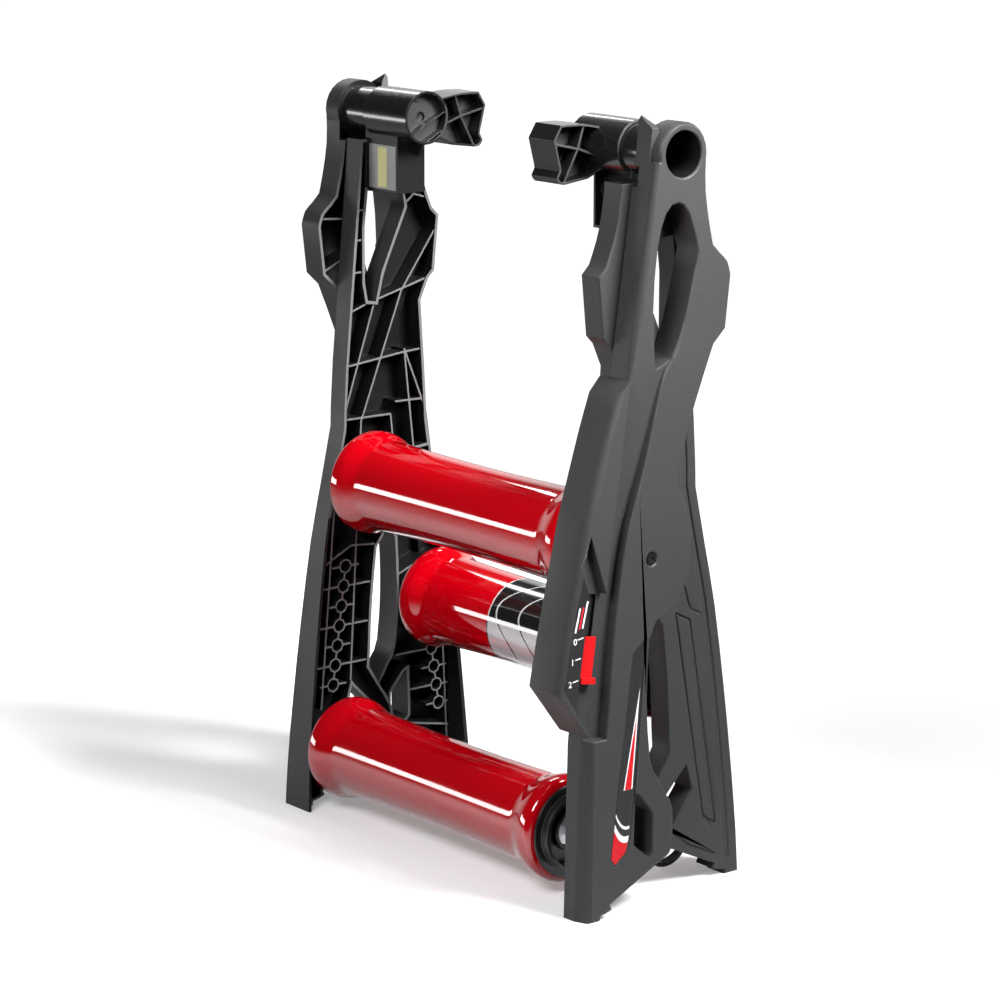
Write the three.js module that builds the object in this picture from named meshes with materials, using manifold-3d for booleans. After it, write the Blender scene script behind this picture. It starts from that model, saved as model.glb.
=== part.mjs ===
// Folding bike rollers, stood up in their folded storage position.
//
// Two moulded frames turn on one cross axis at the top. Each frame has an inner and an outer
// side beam, so the right side is outer over inner and the left side is the same mould pair
// turned half round. Three drums lie across: two in the rear frame, one in the front frame.
//
// Frame of the model: X across the rollers, Y from the rear frame's spine (-) to the front
// frame's spine (+), Z up from the floor that the four feet stand on.
import * as THREE from "three";
import { mergeVertices } from "three/addons/utils/BufferGeometryUtils.js";
import { ConvexGeometry } from "three/addons/geometries/ConvexGeometry.js";
import Module from "manifold-3d";

const wasm = await Module();
wasm.setup();

// Driving sizes, millimetres.
const HINGE_HEIGHT = 676.5;
const DRUM_LENGTH = 343;
const DRUM_SIDE_GAP = 20.5;
const INNER_BEAM_DEPTH = 24;
const BEAM_GAP = 1.5;
const OUTER_BEAM_DEPTH = 29;
const INNER_SKIN_X = DRUM_LENGTH / 2 + DRUM_SIDE_GAP + INNER_BEAM_DEPTH;
const OUTER_SKIN_X = INNER_SKIN_X + BEAM_GAP + OUTER_BEAM_DEPTH;
const SKIN = 3;
const WALL = 3;
const RIB = 2;
const RIB_SETBACK = 1.5;
const OVERRUN = 1;

// Running and seating clearances.
const SEAT_GAP = 0.3;
const RUNNING_GAP = 0.35;

// Fold joint.
const SPIGOT_RADIUS = 22.5;
const SPIGOT_BORE_RADIUS = 20.4;
const SPIGOT_END_WALL = 4;
const BOSS_RADIUS = 28;
const BOSS_DEPTH = 22.5;
const BOSS_LIP_RADIUS = 25.5;
const BOSS_LIP_DEPTH = 3;
const SLEEVE_WALL = 2.5;
const SLEEVE_REACH = 96.3;
const SLEEVE_ROOT_DEPTH = 29;
const SLEEVE_MOUTH_X = INNER_SKIN_X - SLEEVE_REACH;
const SLEEVE_ROOT_X = INNER_SKIN_X - SLEEVE_ROOT_DEPTH;
const HUB_DISC_SETBACK = 10;
const HUB_DISC_WALL = 3.4;
const HUB_HOLE_RADIUS = 5;
const HUB_PIN_HOLE_RADIUS = 3.6;
const HUB_PIP_RADIUS = 4;
const HUB_PIP_HEIGHT = 1;
const PIVOT_HEAD_RADIUS = 9;
const PIVOT_HEAD_LENGTH = 4;
const PIVOT_SOCKET_RADIUS = 3.5;
const PIVOT_TIP_SETBACK = 1.8;

// Lever arms that stop the fold and carry the middle of the opened rollers.
const LEVER_DEPTH = 35;
const LEVER_WALL = 2;

// Bracket between the sleeve and its beam.
const BRACKET_LENGTH = 49;
const BRACKET_FRONT_Y = -17;
const BRACKET_BACK_Y = 15;
const BRACKET_WALL = 2.5;
const BRACKET_DROP = 48;

// Spread of a beam's spine towards its foot, inwards.
const INNER_FLARE = { reach: 17, wall: 3 };
const OUTER_FLARE = { reach: 29, wall: 4.2 };

// Rings in the beams, with rungs to the rails or, at every other ring, to the walls.
const RING_RADIUS = 7.6;
const RING_WALL = 1.8;
const SHORT_RUNG = 16;
const LONG_RUNG = 45;

// Edge facets and the sunk lower strand of the outer beam.
const SPINE_FACET_TOP = 4;
const SPINE_FACET_FOOT = 15;
const SPINE_FACET_BACK_TOP = 3;
const SPINE_FACET_BACK_FOOT = 8;
const SPINE_FACET_KNEE_SHARE = 0.25;
const STRAND_SINK = 11;
const FIN_WIDTH = 18.5;
const FIN_DROP = 10;
const GROOVE_DEPTH = 1.2;
const GROOVE_WIDTH = 1.4;
const CHANNEL_DEPTH = 1.6;
const CHANNEL_NEAR = 11;
const CHANNEL_FAR = 17;
const STICKER_SINK = 0.8;

// Drums.
const DRUM_BORE_RADIUS = 39.5;
const DRUM_CENTRE_RADIUS = 41.5;
const DRUM_NECK_RADIUS = 43.5;
const DRUM_RIM_RADIUS = 50;
const DRUM_END_RADIUS = 44;
const DRUM_RIM_WIDTH = 12;
const DRUM_COLLAR_WIDTH = 36;
// How far the collar still stands out, and how far along it is, at the two rings it bends at.
const DRUM_COLLAR_SHARES = [[0.62, 0.25], [0.15, 0.6]];
const DRUM_LIP_SHARES = { fall: 0.25, width: 1 / 3 };
const CAP_PLUG_LENGTH = 13;
const CAP_FLANGE = 2.5;
const CAP_FLANGE_RADIUS = 43.5;
const CAP_DISH = 6;
const CAP_DISH_RADIUS = 32;
const HUB_SEAT_RADIUS = 19;
const PULLEY_RADIUS = 36;
const PULLEY_GROOVE_DEPTH = 2.6;
const PULLEY_WIDTH = 8;
const BEARING_RADIUS = 15;
const BEARING_WIDTH = 9;
const AXLE_RADIUS = 5;
const SPACER_RADIUS = 7.5;
const AXLE_BOSS_RADIUS = 9.5;
const AXLE_SCREW_HEAD_RADIUS = 5.5;
const AXLE_SCREW_RECESS_RADIUS = 6.2;
const AXLE_SCREW_HEAD_LENGTH = 2.4;
const AXLE_SCREW_SHANK_RADIUS = 2.4;
const AXLE_SCREW_LENGTH = 12;
const AXLE_SCREW_SOCKET_RADIUS = 2.6;

// Magnetic resistance unit.
const BRAKE_DISC_RADIUS = 60;
const BRAKE_DISC_THICKNESS = 3;
const HOUSING_DEPTH = 41.5;
const HOUSING_INNER_X = OUTER_SKIN_X - HOUSING_DEPTH;
const HOUSING_WALL = 2.5;
const HOUSING_FACET = 9;
const CHANNEL_SINK = 8;
const SLIDER_WIDTH = 13;
const SLIDER_LENGTH = 41;
const SLIDER_STAND = 4;
const SLIDER_TAB_WIDTH = 16;
const SLIDER_TAB_HEIGHT = 5;
const SLIDER_TRAVEL = 40;
const CARRIER_THICKNESS = 5;
const CARRIER_WIDTH = 12;
const CARRIER_TAIL = 18;
const CARRIER_HEAD = 98;
const CARRIER_STEP = 2;
const MAGNET_RADIUS = 7;
const MAGNET_THICKNESS = 6;
const MAGNET_COUNT = 2;
const MAGNET_PITCH = 16;
const MAGNET_OFFSET = 7;
const MAGNET_AIR_GAP = 1.6;

// Drive belt.
const BELT_RADIUS = 1.9;
const BELT_BUNDLE_RADIUS = 2.55;
const BELT_TURNS = 3;
const BELT_FLOOR_GAP = 6;
const BELT_TOE_RADIUS = 24;
const BELT_TOE_OFFSET = -3;
const BELT_ARC_STEPS = 8;
const BELT_SIDES = 6;
const BELT_PROBES = 8;

// Facet counts.
const ROUND = 24;
const CAP_ROUND = 14;
const SMALL_ROUND = 8;
const RING_ROUND = 8;
const HEXAGON = 6;
const SPLINE_STEPS = 2;

// Places, as shares of the hinge height: [y, z].
const TOP_AXLE_SHARE = [-0.047, 0.477];
const REAR_AXLE_SHARE = [-0.09, 0.0905];
const INNER_RINGS = { start: [-0.0665, 0.3475], step: [-0.004, -0.029], count: 7 };
const FRONT_AXLE_RING = 2;

// Outer beam outline, counter-clockwise from the toe, in stretches that are each one line or
// one smooth curve. Each stretch starts where the one before it ends.
const OUTER_OUTLINE_SHARES = [
  [[-0.130, 0]],
  [[-0.130, 0.006], [-0.120, 0.008], [-0.109, 0.012]],
  [[-0.112, 0.019]],
  [[-0.012, 0.068]],
  [[-0.005, 0.080], [-0.005, 0.132], [-0.015, 0.151]],
  [[-0.034, 0.182]],
  [[-0.045, 0.205], [-0.052, 0.288], [-0.049, 0.368]],
  [[-0.037, 0.392]],
  [[0.000, 0.413]],
  [[0.017, 0.445], [0.022, 0.500], [0.012, 0.541]],
  [[-0.007, 0.571]],
  [[0.004, 0.608], [0.025, 0.673], [0.056, 0.749]],
  [[0.076, 0.768]],
  [[0.084, 0.838]],
  [[0.078, 0.856], [0.065, 0.868], [0.053, 0.880]],
  [[0.046, 0.909], [0.039, 0.950], [0.038, 0.992]],
  [[-0.046, 0.992]],
  [[-0.152, 0.239]],
  [[-0.157, 0]],
];
const OUTER_ARCH_SHARES = [
  [[-0.048, 0.800], [-0.042, 0.880], [-0.028, 0.926], [-0.008, 0.938], [0.010, 0.923],
    [0.027, 0.874]],
  [[0.013, 0.815], [-0.004, 0.760], [-0.016, 0.736]],
  [[-0.028, 0.729]],
  [[-0.041, 0.724]],
];
const OUTER_FOOT_WINDOW_SHARES = [
  [[-0.064, 0.160]], [[-0.040, 0.132]], [[-0.040, 0.079]], [[-0.045, 0.071]],
  [[-0.072, 0.093]], [[-0.070, 0.163]],
];
const FIN_SHARES = [
  [[-0.030, 0.985]], [[-0.030, 1.036]], [[-0.036, 1.049]], [[-0.040, 1.044]],
  [[-0.0425, 1.020]], [[-0.047, 0.985]],
];
// Where the raised strand's edge crosses the sunk one, from the arch down to the spine.
const STRAND_EDGE_SHARES = [
  [0.013, 0.815], [-0.004, 0.757], [-0.016, 0.736], [-0.032, 0.711], [-0.061, 0.600],
  [-0.090, 0.508], [-0.109, 0.389], [-0.121, 0.247],
];
const STRAND_SINK_START_SHARE = 0.800;
const STRAND_SINK_END_SHARE = 0.560;
const STRAND_BEYOND_SHARE = -0.2;
const STICKER_SHARES = [
  [[-0.054, 0.374]], [[-0.078, 0.355]], [[-0.092, 0.240], [-0.103, 0.150], [-0.112, 0.080]],
  [[-0.104, 0.070]], [[-0.085, 0.086]], [[-0.080, 0.105]], [[-0.058, 0.330]],
];
const OUTER_RIB_SHARES = [
  [[-0.07, 0.930], [0.05, 0.965]], [[-0.08, 0.900], [-0.02, 0.893]],
  [[-0.09, 0.830], [-0.02, 0.825]], [[0.015, 0.800], [0.10, 0.760]],
  [[0.02, 0.845], [0.10, 0.850]], [[-0.12, 0.705], [0.06, 0.735]],
  [[-0.12, 0.600], [0.03, 0.545]], [[-0.14, 0.500], [0.04, 0.560]],
  [[-0.16, 0.400], [0.00, 0.430]], [[-0.16, 0.350], [-0.03, 0.300]],
  [[-0.17, 0.240], [-0.03, 0.270]], [[-0.17, 0.060], [-0.07, 0.080]],
  [[-0.05, 0.075], [-0.07, 0.020]], [[-0.137, 0.240], [-0.148, 0.010]],
];
const OUTER_RINGS = { start: [-0.1136, 0.2164], step: [-0.0043, -0.0288], count: 5 };
const OUTER_FLARE_TOP_SHARE = 0.42;

// Inner beam outline, the same way round, ending under the spigot.
const INNER_OUTLINE_SHARES = [
  [[-0.130, 0]],
  [[-0.130, 0.006], [-0.120, 0.008], [-0.109, 0.012]],
  [[-0.112, 0.019]],
  [[-0.012, 0.065]],
  [[0.009, 0.080], [0.016, 0.105], [0.012, 0.130], [-0.007, 0.160]],
  [[-0.027, 0.192]],
  [[-0.025, 0.223], [-0.021, 0.291], [-0.012, 0.369]],
  [[0.000, 0.384]],
  [[0.018, 0.455], [0.020, 0.494]],
  [[0.040, 0.503]],
  [[0.086, 0.508]],
  [[0.080, 0.545], [0.075, 0.634], [0.069, 0.723]],
  [[0.083, 0.754]],
  [[0.094, 0.765]],
  [[0.102, 0.845]],
  [[0.090, 0.857]],
  [[0.078, 0.887], [0.070, 0.918], [0.065, 0.955]],
];
const SPINE_TOP_SHARE = -0.035;
const INNER_SPINE_SHARES = [
  [[-0.041, 0.887], [-0.064, 0.644], [-0.069, 0.550]],
  [[-0.086, 0.473], [-0.106, 0.384], [-0.125, 0.266], [-0.141, 0.148], [-0.151, 0.059],
    [-0.155, 0]],
];
const INNER_ARCH_SHARES = [
  [[-0.024, 0.889]], [[-0.030, 0.838]], [[-0.030, 0.757]], [[-0.025, 0.731]],
  [[-0.011, 0.729]], [[0.000, 0.772]], [[0.041, 0.861]], [[0.037, 0.882]],
];
const INNER_FOOT_WINDOW_SHARES = [
  [[-0.058, 0.168]], [[-0.069, 0.132]], [[-0.031, 0.083]], [[-0.012, 0.100]],
  [[-0.024, 0.133]],
];
const INNER_RIB_SHARES = [
  [[-0.060, 0.862], [-0.020, 0.862]], [[-0.065, 0.819], [-0.020, 0.819]],
  [[-0.070, 0.773], [-0.020, 0.773]],
  [[-0.080, 0.708], [-0.025, 0.727]], [[-0.025, 0.727], [0.110, 0.762]],
  [[0.043, 0.862], [-0.011, 0.731]], [[-0.011, 0.731], [-0.080, 0.530]],
  [[0.110, 0.842], [0.036, 0.740]], [[0.036, 0.740], [-0.037, 0.557]],
  [[-0.090, 0.636], [0.038, 0.650]], [[0.038, 0.650], [0.090, 0.653]],
  [[0.041, 0.655], [0.090, 0.535]], [[0.041, 0.655], [0.058, 0.500]],
  [[0.024, 0.579], [0.090, 0.578]], [[-0.080, 0.562], [0.016, 0.562]],
  [[0.016, 0.562], [0.024, 0.480]],
  [[0.037, 0.884], [0.047, 0.911]], [[0.047, 0.911], [0.061, 0.945]],
  [[0.047, 0.911], [0.059, 0.878]], [[0.059, 0.878], [0.043, 0.865]],
  [[0.059, 0.878], [0.095, 0.868]], [[-0.024, 0.889], [-0.024, 0.970]],
  [[-0.120, 0.345], [-0.056, 0.377]], [[-0.056, 0.377], [0.000, 0.372]],
  [[-0.130, 0.470], [-0.046, 0.440]],
];
// Two long ribs run either side of the inner beam's rings.
const INNER_RAIL_SHARES = [[[-0.078, 0.520], [-0.112, 0.140]], [[-0.037, 0.557], [-0.060, 0.165]]];

// Lines cut in the inner beam's skin.
const SKIN_PANEL_SHARES = [
  [[-0.035, 0.383]], [[-0.061, 0.370]], [[-0.111, 0.078]], [[-0.101, 0.083]],
  [[-0.089, 0.091]],
];
const SKIN_HOOK_SHARES = [[-0.049, 0.421], [-0.056, 0.395], [-0.062, 0.383], [-0.090, 0.372]];
const SKIN_TOE_SHARES = [[-0.028, 0.084], [-0.062, 0.055], [-0.112, 0.034]];

const LEVER_SHARES = [
  [[0.010, 1.022]], [[0.034, 1.027], [0.060, 1.031], [0.092, 1.031]],
  [[0.104, 1.012]], [[0.097, 0.985], [0.094, 0.972], [0.099, 0.963], [0.093, 0.955],
    [0.084, 0.954]],
  [[0.046, 0.959]], [[0.010, 0.975]],
];
const LEVER_RIB_SHARES = [[[0.010, 0.980], [0.060, 0.998]], [[0.060, 0.998], [0.110, 1.009]],
  [[0.050, 1.035], [0.062, 0.998]], [[0.062, 0.998], [0.088, 0.950]]];
const MOUTH_RIB_SHARES = [[[-0.030, 0.970], [0.000, 0.990]], [[0.000, 0.990], [0.040, 1.010]],
  [[-0.008, 0.961], [0.040, 0.987]]];
const HUB_PIN_HOLE_SHARE = [-0.028, 0.992];
const HUB_PIP_SHARE = [-0.006, 1.027];
const WEB_FOOT_SHARE = [0.036, 0.887];

const HOUSING_SHARES = [
  [[-0.104, 0.696]],
  [[-0.1213, 0.6474], [-0.1434, 0.5764], [-0.1563, 0.5335]],
  [[-0.1898, 0.3819]], [[-0.2018, 0.3199]], [[-0.152, 0.252]],
];
const HOUSING_TOP_SHARE = 0.716;
const HOUSING_TRACK_SHARES = [
  [[-0.1493, 0.5208]], [[-0.1627, 0.4816]], [[-0.150, 0.4449]], [[-0.1725, 0.290]],
  [[-0.148, 0.2575]], [[-0.130, 0.2575]], [[-0.100, 0.368]],
];
const SLIDER_SHARE = [-0.1495, 0.357];

/** Makes one closed solid of a three.js geometry, welding its seams. */
function toSolid(geometry) {
  const bare = geometry.clone();
  bare.deleteAttribute("normal");
  bare.deleteAttribute("uv");
  const merged = mergeVertices(bare);
  const index = merged.index.array;
  const faces = [];
  for (let i = 0; i < index.length; i += 3) {
    const [a, b, c] = [index[i], index[i + 1], index[i + 2]];
    if (a !== b && b !== c && c !== a) faces.push(a, b, c);
  }
  return new wasm.Manifold(new wasm.Mesh({
    numProp: 3,
    vertProperties: Float32Array.from(merged.attributes.position.array),
    triVerts: Uint32Array.from(faces),
  }));
}

/** Gives a solid's faces back as a three.js geometry. */
function toGeometry(solid) {
  const mesh = solid.getMesh();
  const geometry = new THREE.BufferGeometry();
  geometry.setAttribute("position", new THREE.BufferAttribute(mesh.vertProperties, 3));
  geometry.setIndex(new THREE.BufferAttribute(mesh.triVerts, 1));
  geometry.computeVertexNormals();
  return geometry;
}

const join = (solids) => solids.reduce((all, next) => all.add(next));
const cut = (body, tools) => tools.reduce((left, tool) => left.subtract(tool), body);

/** A [y, z] share of the hinge height as a point of the side view. */
const at = ([y, z]) => new THREE.Vector2(y * HINGE_HEIGHT, z * HINGE_HEIGHT);

/** Walks the stretches of an outline: a lone point is a line, several are one smooth curve. */
function outline(stretches) {
  const points = [];
  let start = at(stretches.at(-1).at(-1));
  for (const stretch of stretches) {
    const knots = [start, ...stretch.map(at)];
    if (knots.length === 2) points.push(knots[1]);
    else {
      const curve = new THREE.SplineCurve(knots);
      points.push(...curve.getPoints(SPLINE_STEPS * (knots.length - 1)).slice(1));
    }
    start = knots.at(-1);
  }
  return points;
}

// A mitre sharper than this is blunted.
const MITRE_SHARE = 0.35;

/** Moves every side of a counter-clockwise outline inwards, with mitred corners. */
function inset(points, distance) {
  const count = points.length;
  const inward = (a, b) => new THREE.Vector2(a.y - b.y, b.x - a.x).normalize();
  const moved = points.map((point, i) => {
    const before = inward(points[(i + count - 1) % count], point);
    const after = inward(point, points[(i + 1) % count]);
    const open = Math.max(1 + before.dot(after), MITRE_SHARE);
    return point.clone().addScaledVector(before.add(after), distance / open);
  });
  return moved.filter((point, i) => {
    const next = moved[(i + 1) % count].clone().sub(point);
    return next.dot(points[(i + 1) % count].clone().sub(points[i])) > 0;
  });
}

const SIDE_VIEW = new THREE.Matrix4().makeBasis(
  new THREE.Vector3(0, 1, 0), new THREE.Vector3(0, 0, 1), new THREE.Vector3(1, 0, 0));

/** Extrudes a side-view outline from x0 to x1. */
function slab(points, x0, x1) {
  const [near, far] = x0 < x1 ? [x0, x1] : [x1, x0];
  const geometry = new THREE.ExtrudeGeometry(new THREE.Shape(points),
    { depth: far - near, bevelEnabled: false });
  geometry.applyMatrix4(SIDE_VIEW);
  geometry.translate(near, 0, 0);
  return toSolid(geometry);
}

/** A rib of the given thickness between two side-view points, from x0 to x1. */
function rib(a, b, thickness, x0, x1) {
  const along = b.clone().sub(a).normalize();
  const across = new THREE.Vector2(-along.y, along.x).multiplyScalar(thickness / 2);
  return slab([a.clone().sub(across), b.clone().sub(across), b.clone().add(across),
    a.clone().add(across)], x0, x1);
}

/** A round bar along X. */
function bar(centre, radius, x0, x1, sides = ROUND) {
  const geometry = new THREE.CylinderGeometry(radius, radius, Math.abs(x1 - x0), sides);
  geometry.rotateZ(-Math.PI / 2);
  geometry.translate((x0 + x1) / 2, centre.x, centre.y);
  return toSolid(geometry);
}

/** Revolves [radius, x] points about an axis along X through the given side-view point. */
function revolve(profile, centre, sides = ROUND) {
  const points = profile.map(([radius, x]) => new THREE.Vector2(radius, x));
  const geometry = new THREE.LatheGeometry(points, sides);
  geometry.rotateZ(-Math.PI / 2);
  geometry.translate(0, centre.x, centre.y);
  return toSolid(geometry);
}

/** The convex solid around points given as [x, side-view point]. */
function wedge(corners) {
  return toSolid(new ConvexGeometry(
    corners.map(([x, point]) => new THREE.Vector3(x, point.x, point.y))));
}

/** A strip of side-view outline that follows a row of points, between two offsets along Y. */
function strip(points, near, far) {
  const inner = points.map((point) => new THREE.Vector2(point.x + near, point.y));
  const outer = points.map((point) => new THREE.Vector2(point.x + far, point.y));
  return [...inner, ...outer.reverse()];
}

const shift = (point, y, z) => new THREE.Vector2(point.x + y, point.y + z);

const HINGE = at([0, 1]);
const SLEEVE_BORE_RADIUS = SPIGOT_RADIUS + RUNNING_GAP;
const PIVOT_SHANK_RADIUS = HUB_HOLE_RADIUS - SEAT_GAP;
const SLEEVE_RADIUS = SLEEVE_BORE_RADIUS + SLEEVE_WALL;
const OUTER_OPEN_X = OUTER_SKIN_X - OUTER_BEAM_DEPTH;
const INNER_OPEN_X = INNER_SKIN_X - INNER_BEAM_DEPTH;
const HUB_DISC_X = SLEEVE_MOUTH_X + HUB_DISC_SETBACK;
const SPIGOT_END_X = HUB_DISC_X + HUB_DISC_WALL + SEAT_GAP;
const TOP_AXLE = at(TOP_AXLE_SHARE);
const REAR_AXLE = at(REAR_AXLE_SHARE);
const ringPlace = ({ start, step }, i) => at([0, 1].map((k) => start[k] + i * step[k]));
const FRONT_AXLE = ringPlace(INNER_RINGS, FRONT_AXLE_RING);

const turned = (point) => new THREE.Vector2(-point.x, point.y);

/** Corner radius of a faceted bore that a round of the given radius turns in freely. */
const around = (radius, sides) => radius / Math.cos(Math.PI / sides);

/** Radius of the round that turns freely in a faceted bore of the given corner radius. */
const within = (radius, sides) => radius * Math.cos(Math.PI / sides);

/** The outer beam's front edge at a height, for what lies along the spine. */
function spineAt(z) {
  const [top, low] = OUTER_OUTLINE_SHARES.slice(-3, -1).map((stretch) => at(stretch.at(-1)));
  return new THREE.Vector2(low.x + (top.x - low.x) * (z - low.y) / (top.y - low.y), z);
}
const SPINE_SLOPE = spineAt(HINGE_HEIGHT).sub(spineAt(0)).normalize();

/** The hollow of a beam: the room inside its wall, less ribs, bosses and window walls. */
function hollow(points, windows, keep, openX, floorX) {
  const mouth = openX - Math.sign(floorX - openX) * OVERRUN;
  const room = slab(inset(points, WALL), mouth, floorX);
  const walls = windows.map((window) => slab(inset(window, -WALL), mouth, floorX));
  return cut(room, [...walls, ...keep]);
}

/** Blind bore for an axle end, with an optional screw seat through the skin. */
function axleBore(axle, openX, skinX, screwed) {
  const out = Math.sign(skinX - openX);
  const tools = [bar(axle, AXLE_RADIUS + SEAT_GAP, openX - out * OVERRUN, skinX - out * SKIN,
    SMALL_ROUND)];
  if (screwed) {
    tools.push(bar(axle, AXLE_SCREW_RECESS_RADIUS, skinX - out * AXLE_SCREW_HEAD_LENGTH,
      skinX + out * OVERRUN, SMALL_ROUND));
    tools.push(bar(axle, AXLE_SCREW_SHANK_RADIUS + SEAT_GAP, skinX - out * (SKIN + OVERRUN),
      skinX, SMALL_ROUND));
  }
  return tools;
}

/** A row of rings on one line, with a rung across each, from x0 to x1. */
function ringRow(row, x0, x1) {
  const places = Array.from({ length: row.count }, (_, i) => ringPlace(row, i));
  const rungs = places.map((place, i) => {
    const reach = i % 2 ? LONG_RUNG : SHORT_RUNG;
    return rib(shift(place, -reach, 0), shift(place, reach, 0), RIB, x0, x1);
  });
  return [rib(places[0], places.at(-1), RIB, x0, x1), ...rungs,
    ...places.map((place) => bar(place, RING_RADIUS, x0, x1, RING_ROUND))];
}

/** The blind holes of those rings, less the one that holds an axle. */
function ringHoles(row, axles, openX, floorX) {
  const mouth = openX - Math.sign(floorX - openX) * OVERRUN;
  return Array.from({ length: row.count }, (_, i) => ringPlace(row, i))
    .filter((spot) => axles.every(({ place }) => place.distanceTo(spot) > RING_RADIUS))
    .map((spot) => bar(spot, RING_RADIUS - RING_WALL, mouth, floorX, RING_ROUND));
}

/** The wall by which a spine spreads inwards, growing from nothing down to the foot. */
function spineFlare(spine, openX, flare) {
  const root = openX + Math.sign(openX) * RIB;
  const reach = openX - Math.sign(openX) * flare.reach;
  return slab(strip(spine, 0, flare.wall), root, reach).intersect(wedge([-1, 1].flatMap((side) => {
    const beyond = side * HINGE_HEIGHT;
    return [[root, new THREE.Vector2(beyond, spine[0].y)], [root, new THREE.Vector2(beyond, 0)],
      [reach, new THREE.Vector2(beyond, 0)]];
  })));
}

/** Facets that round the outer beam's front edge, growing towards the foot. */
function spineFacets() {
  const top = spineAt(HINGE_HEIGHT + BOSS_RADIUS + SLEEVE_RADIUS);
  const knee = at(OUTER_OUTLINE_SHARES.at(-2)[0]);
  const toe = at(OUTER_OUTLINE_SHARES.at(-1)[0]).setY(-OVERRUN);
  const grow = (z, small, large) => large + (small - large) * z / top.y;
  const ring = (point) => {
    const across = grow(point.y, SPINE_FACET_TOP, SPINE_FACET_FOOT);
    const back = grow(point.y, SPINE_FACET_BACK_TOP, SPINE_FACET_BACK_FOOT);
    const out = OUTER_SKIN_X + OVERRUN;
    const kneeX = OUTER_SKIN_X - across * SPINE_FACET_KNEE_SHARE;
    const ahead = shift(point, -OVERRUN, 0);
    return {
      broad: [[OUTER_SKIN_X - across, ahead], [OUTER_SKIN_X - across, point],
        [kneeX, shift(point, back / 2, 0)], [out, shift(point, back / 2, 0)], [out, ahead]],
      narrow: [[kneeX, shift(point, back / 2, 0)], [OUTER_SKIN_X, shift(point, back, 0)],
        [out, shift(point, back, 0)], [out, shift(point, back / 2, 0)]],
    };
  };
  return [[top, knee], [knee, toe]].flatMap(([a, b]) => {
    const [high, low] = [ring(a), ring(b)];
    return [wedge([...high.broad, ...low.broad]), wedge([...high.narrow, ...low.narrow])];
  });
}

/** Solid backing behind those facets, so that they never open the hollow. */
function spineBacking() {
  const top = spineAt(HINGE_HEIGHT);
  const knee = at(OUTER_OUTLINE_SHARES.at(-2)[0]);
  const toe = at(OUTER_OUTLINE_SHARES.at(-1)[0]);
  const reach = SPINE_FACET_BACK_FOOT + WALL;
  const section = (point) => [[OUTER_SKIN_X - SPINE_FACET_FOOT - WALL, point],
    [OUTER_SKIN_X - SKIN, point], [OUTER_SKIN_X - SKIN, shift(point, reach, 0)]];
  return [[top, knee], [knee, toe]].map(([a, b]) => wedge([...section(a), ...section(b)]));
}

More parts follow.
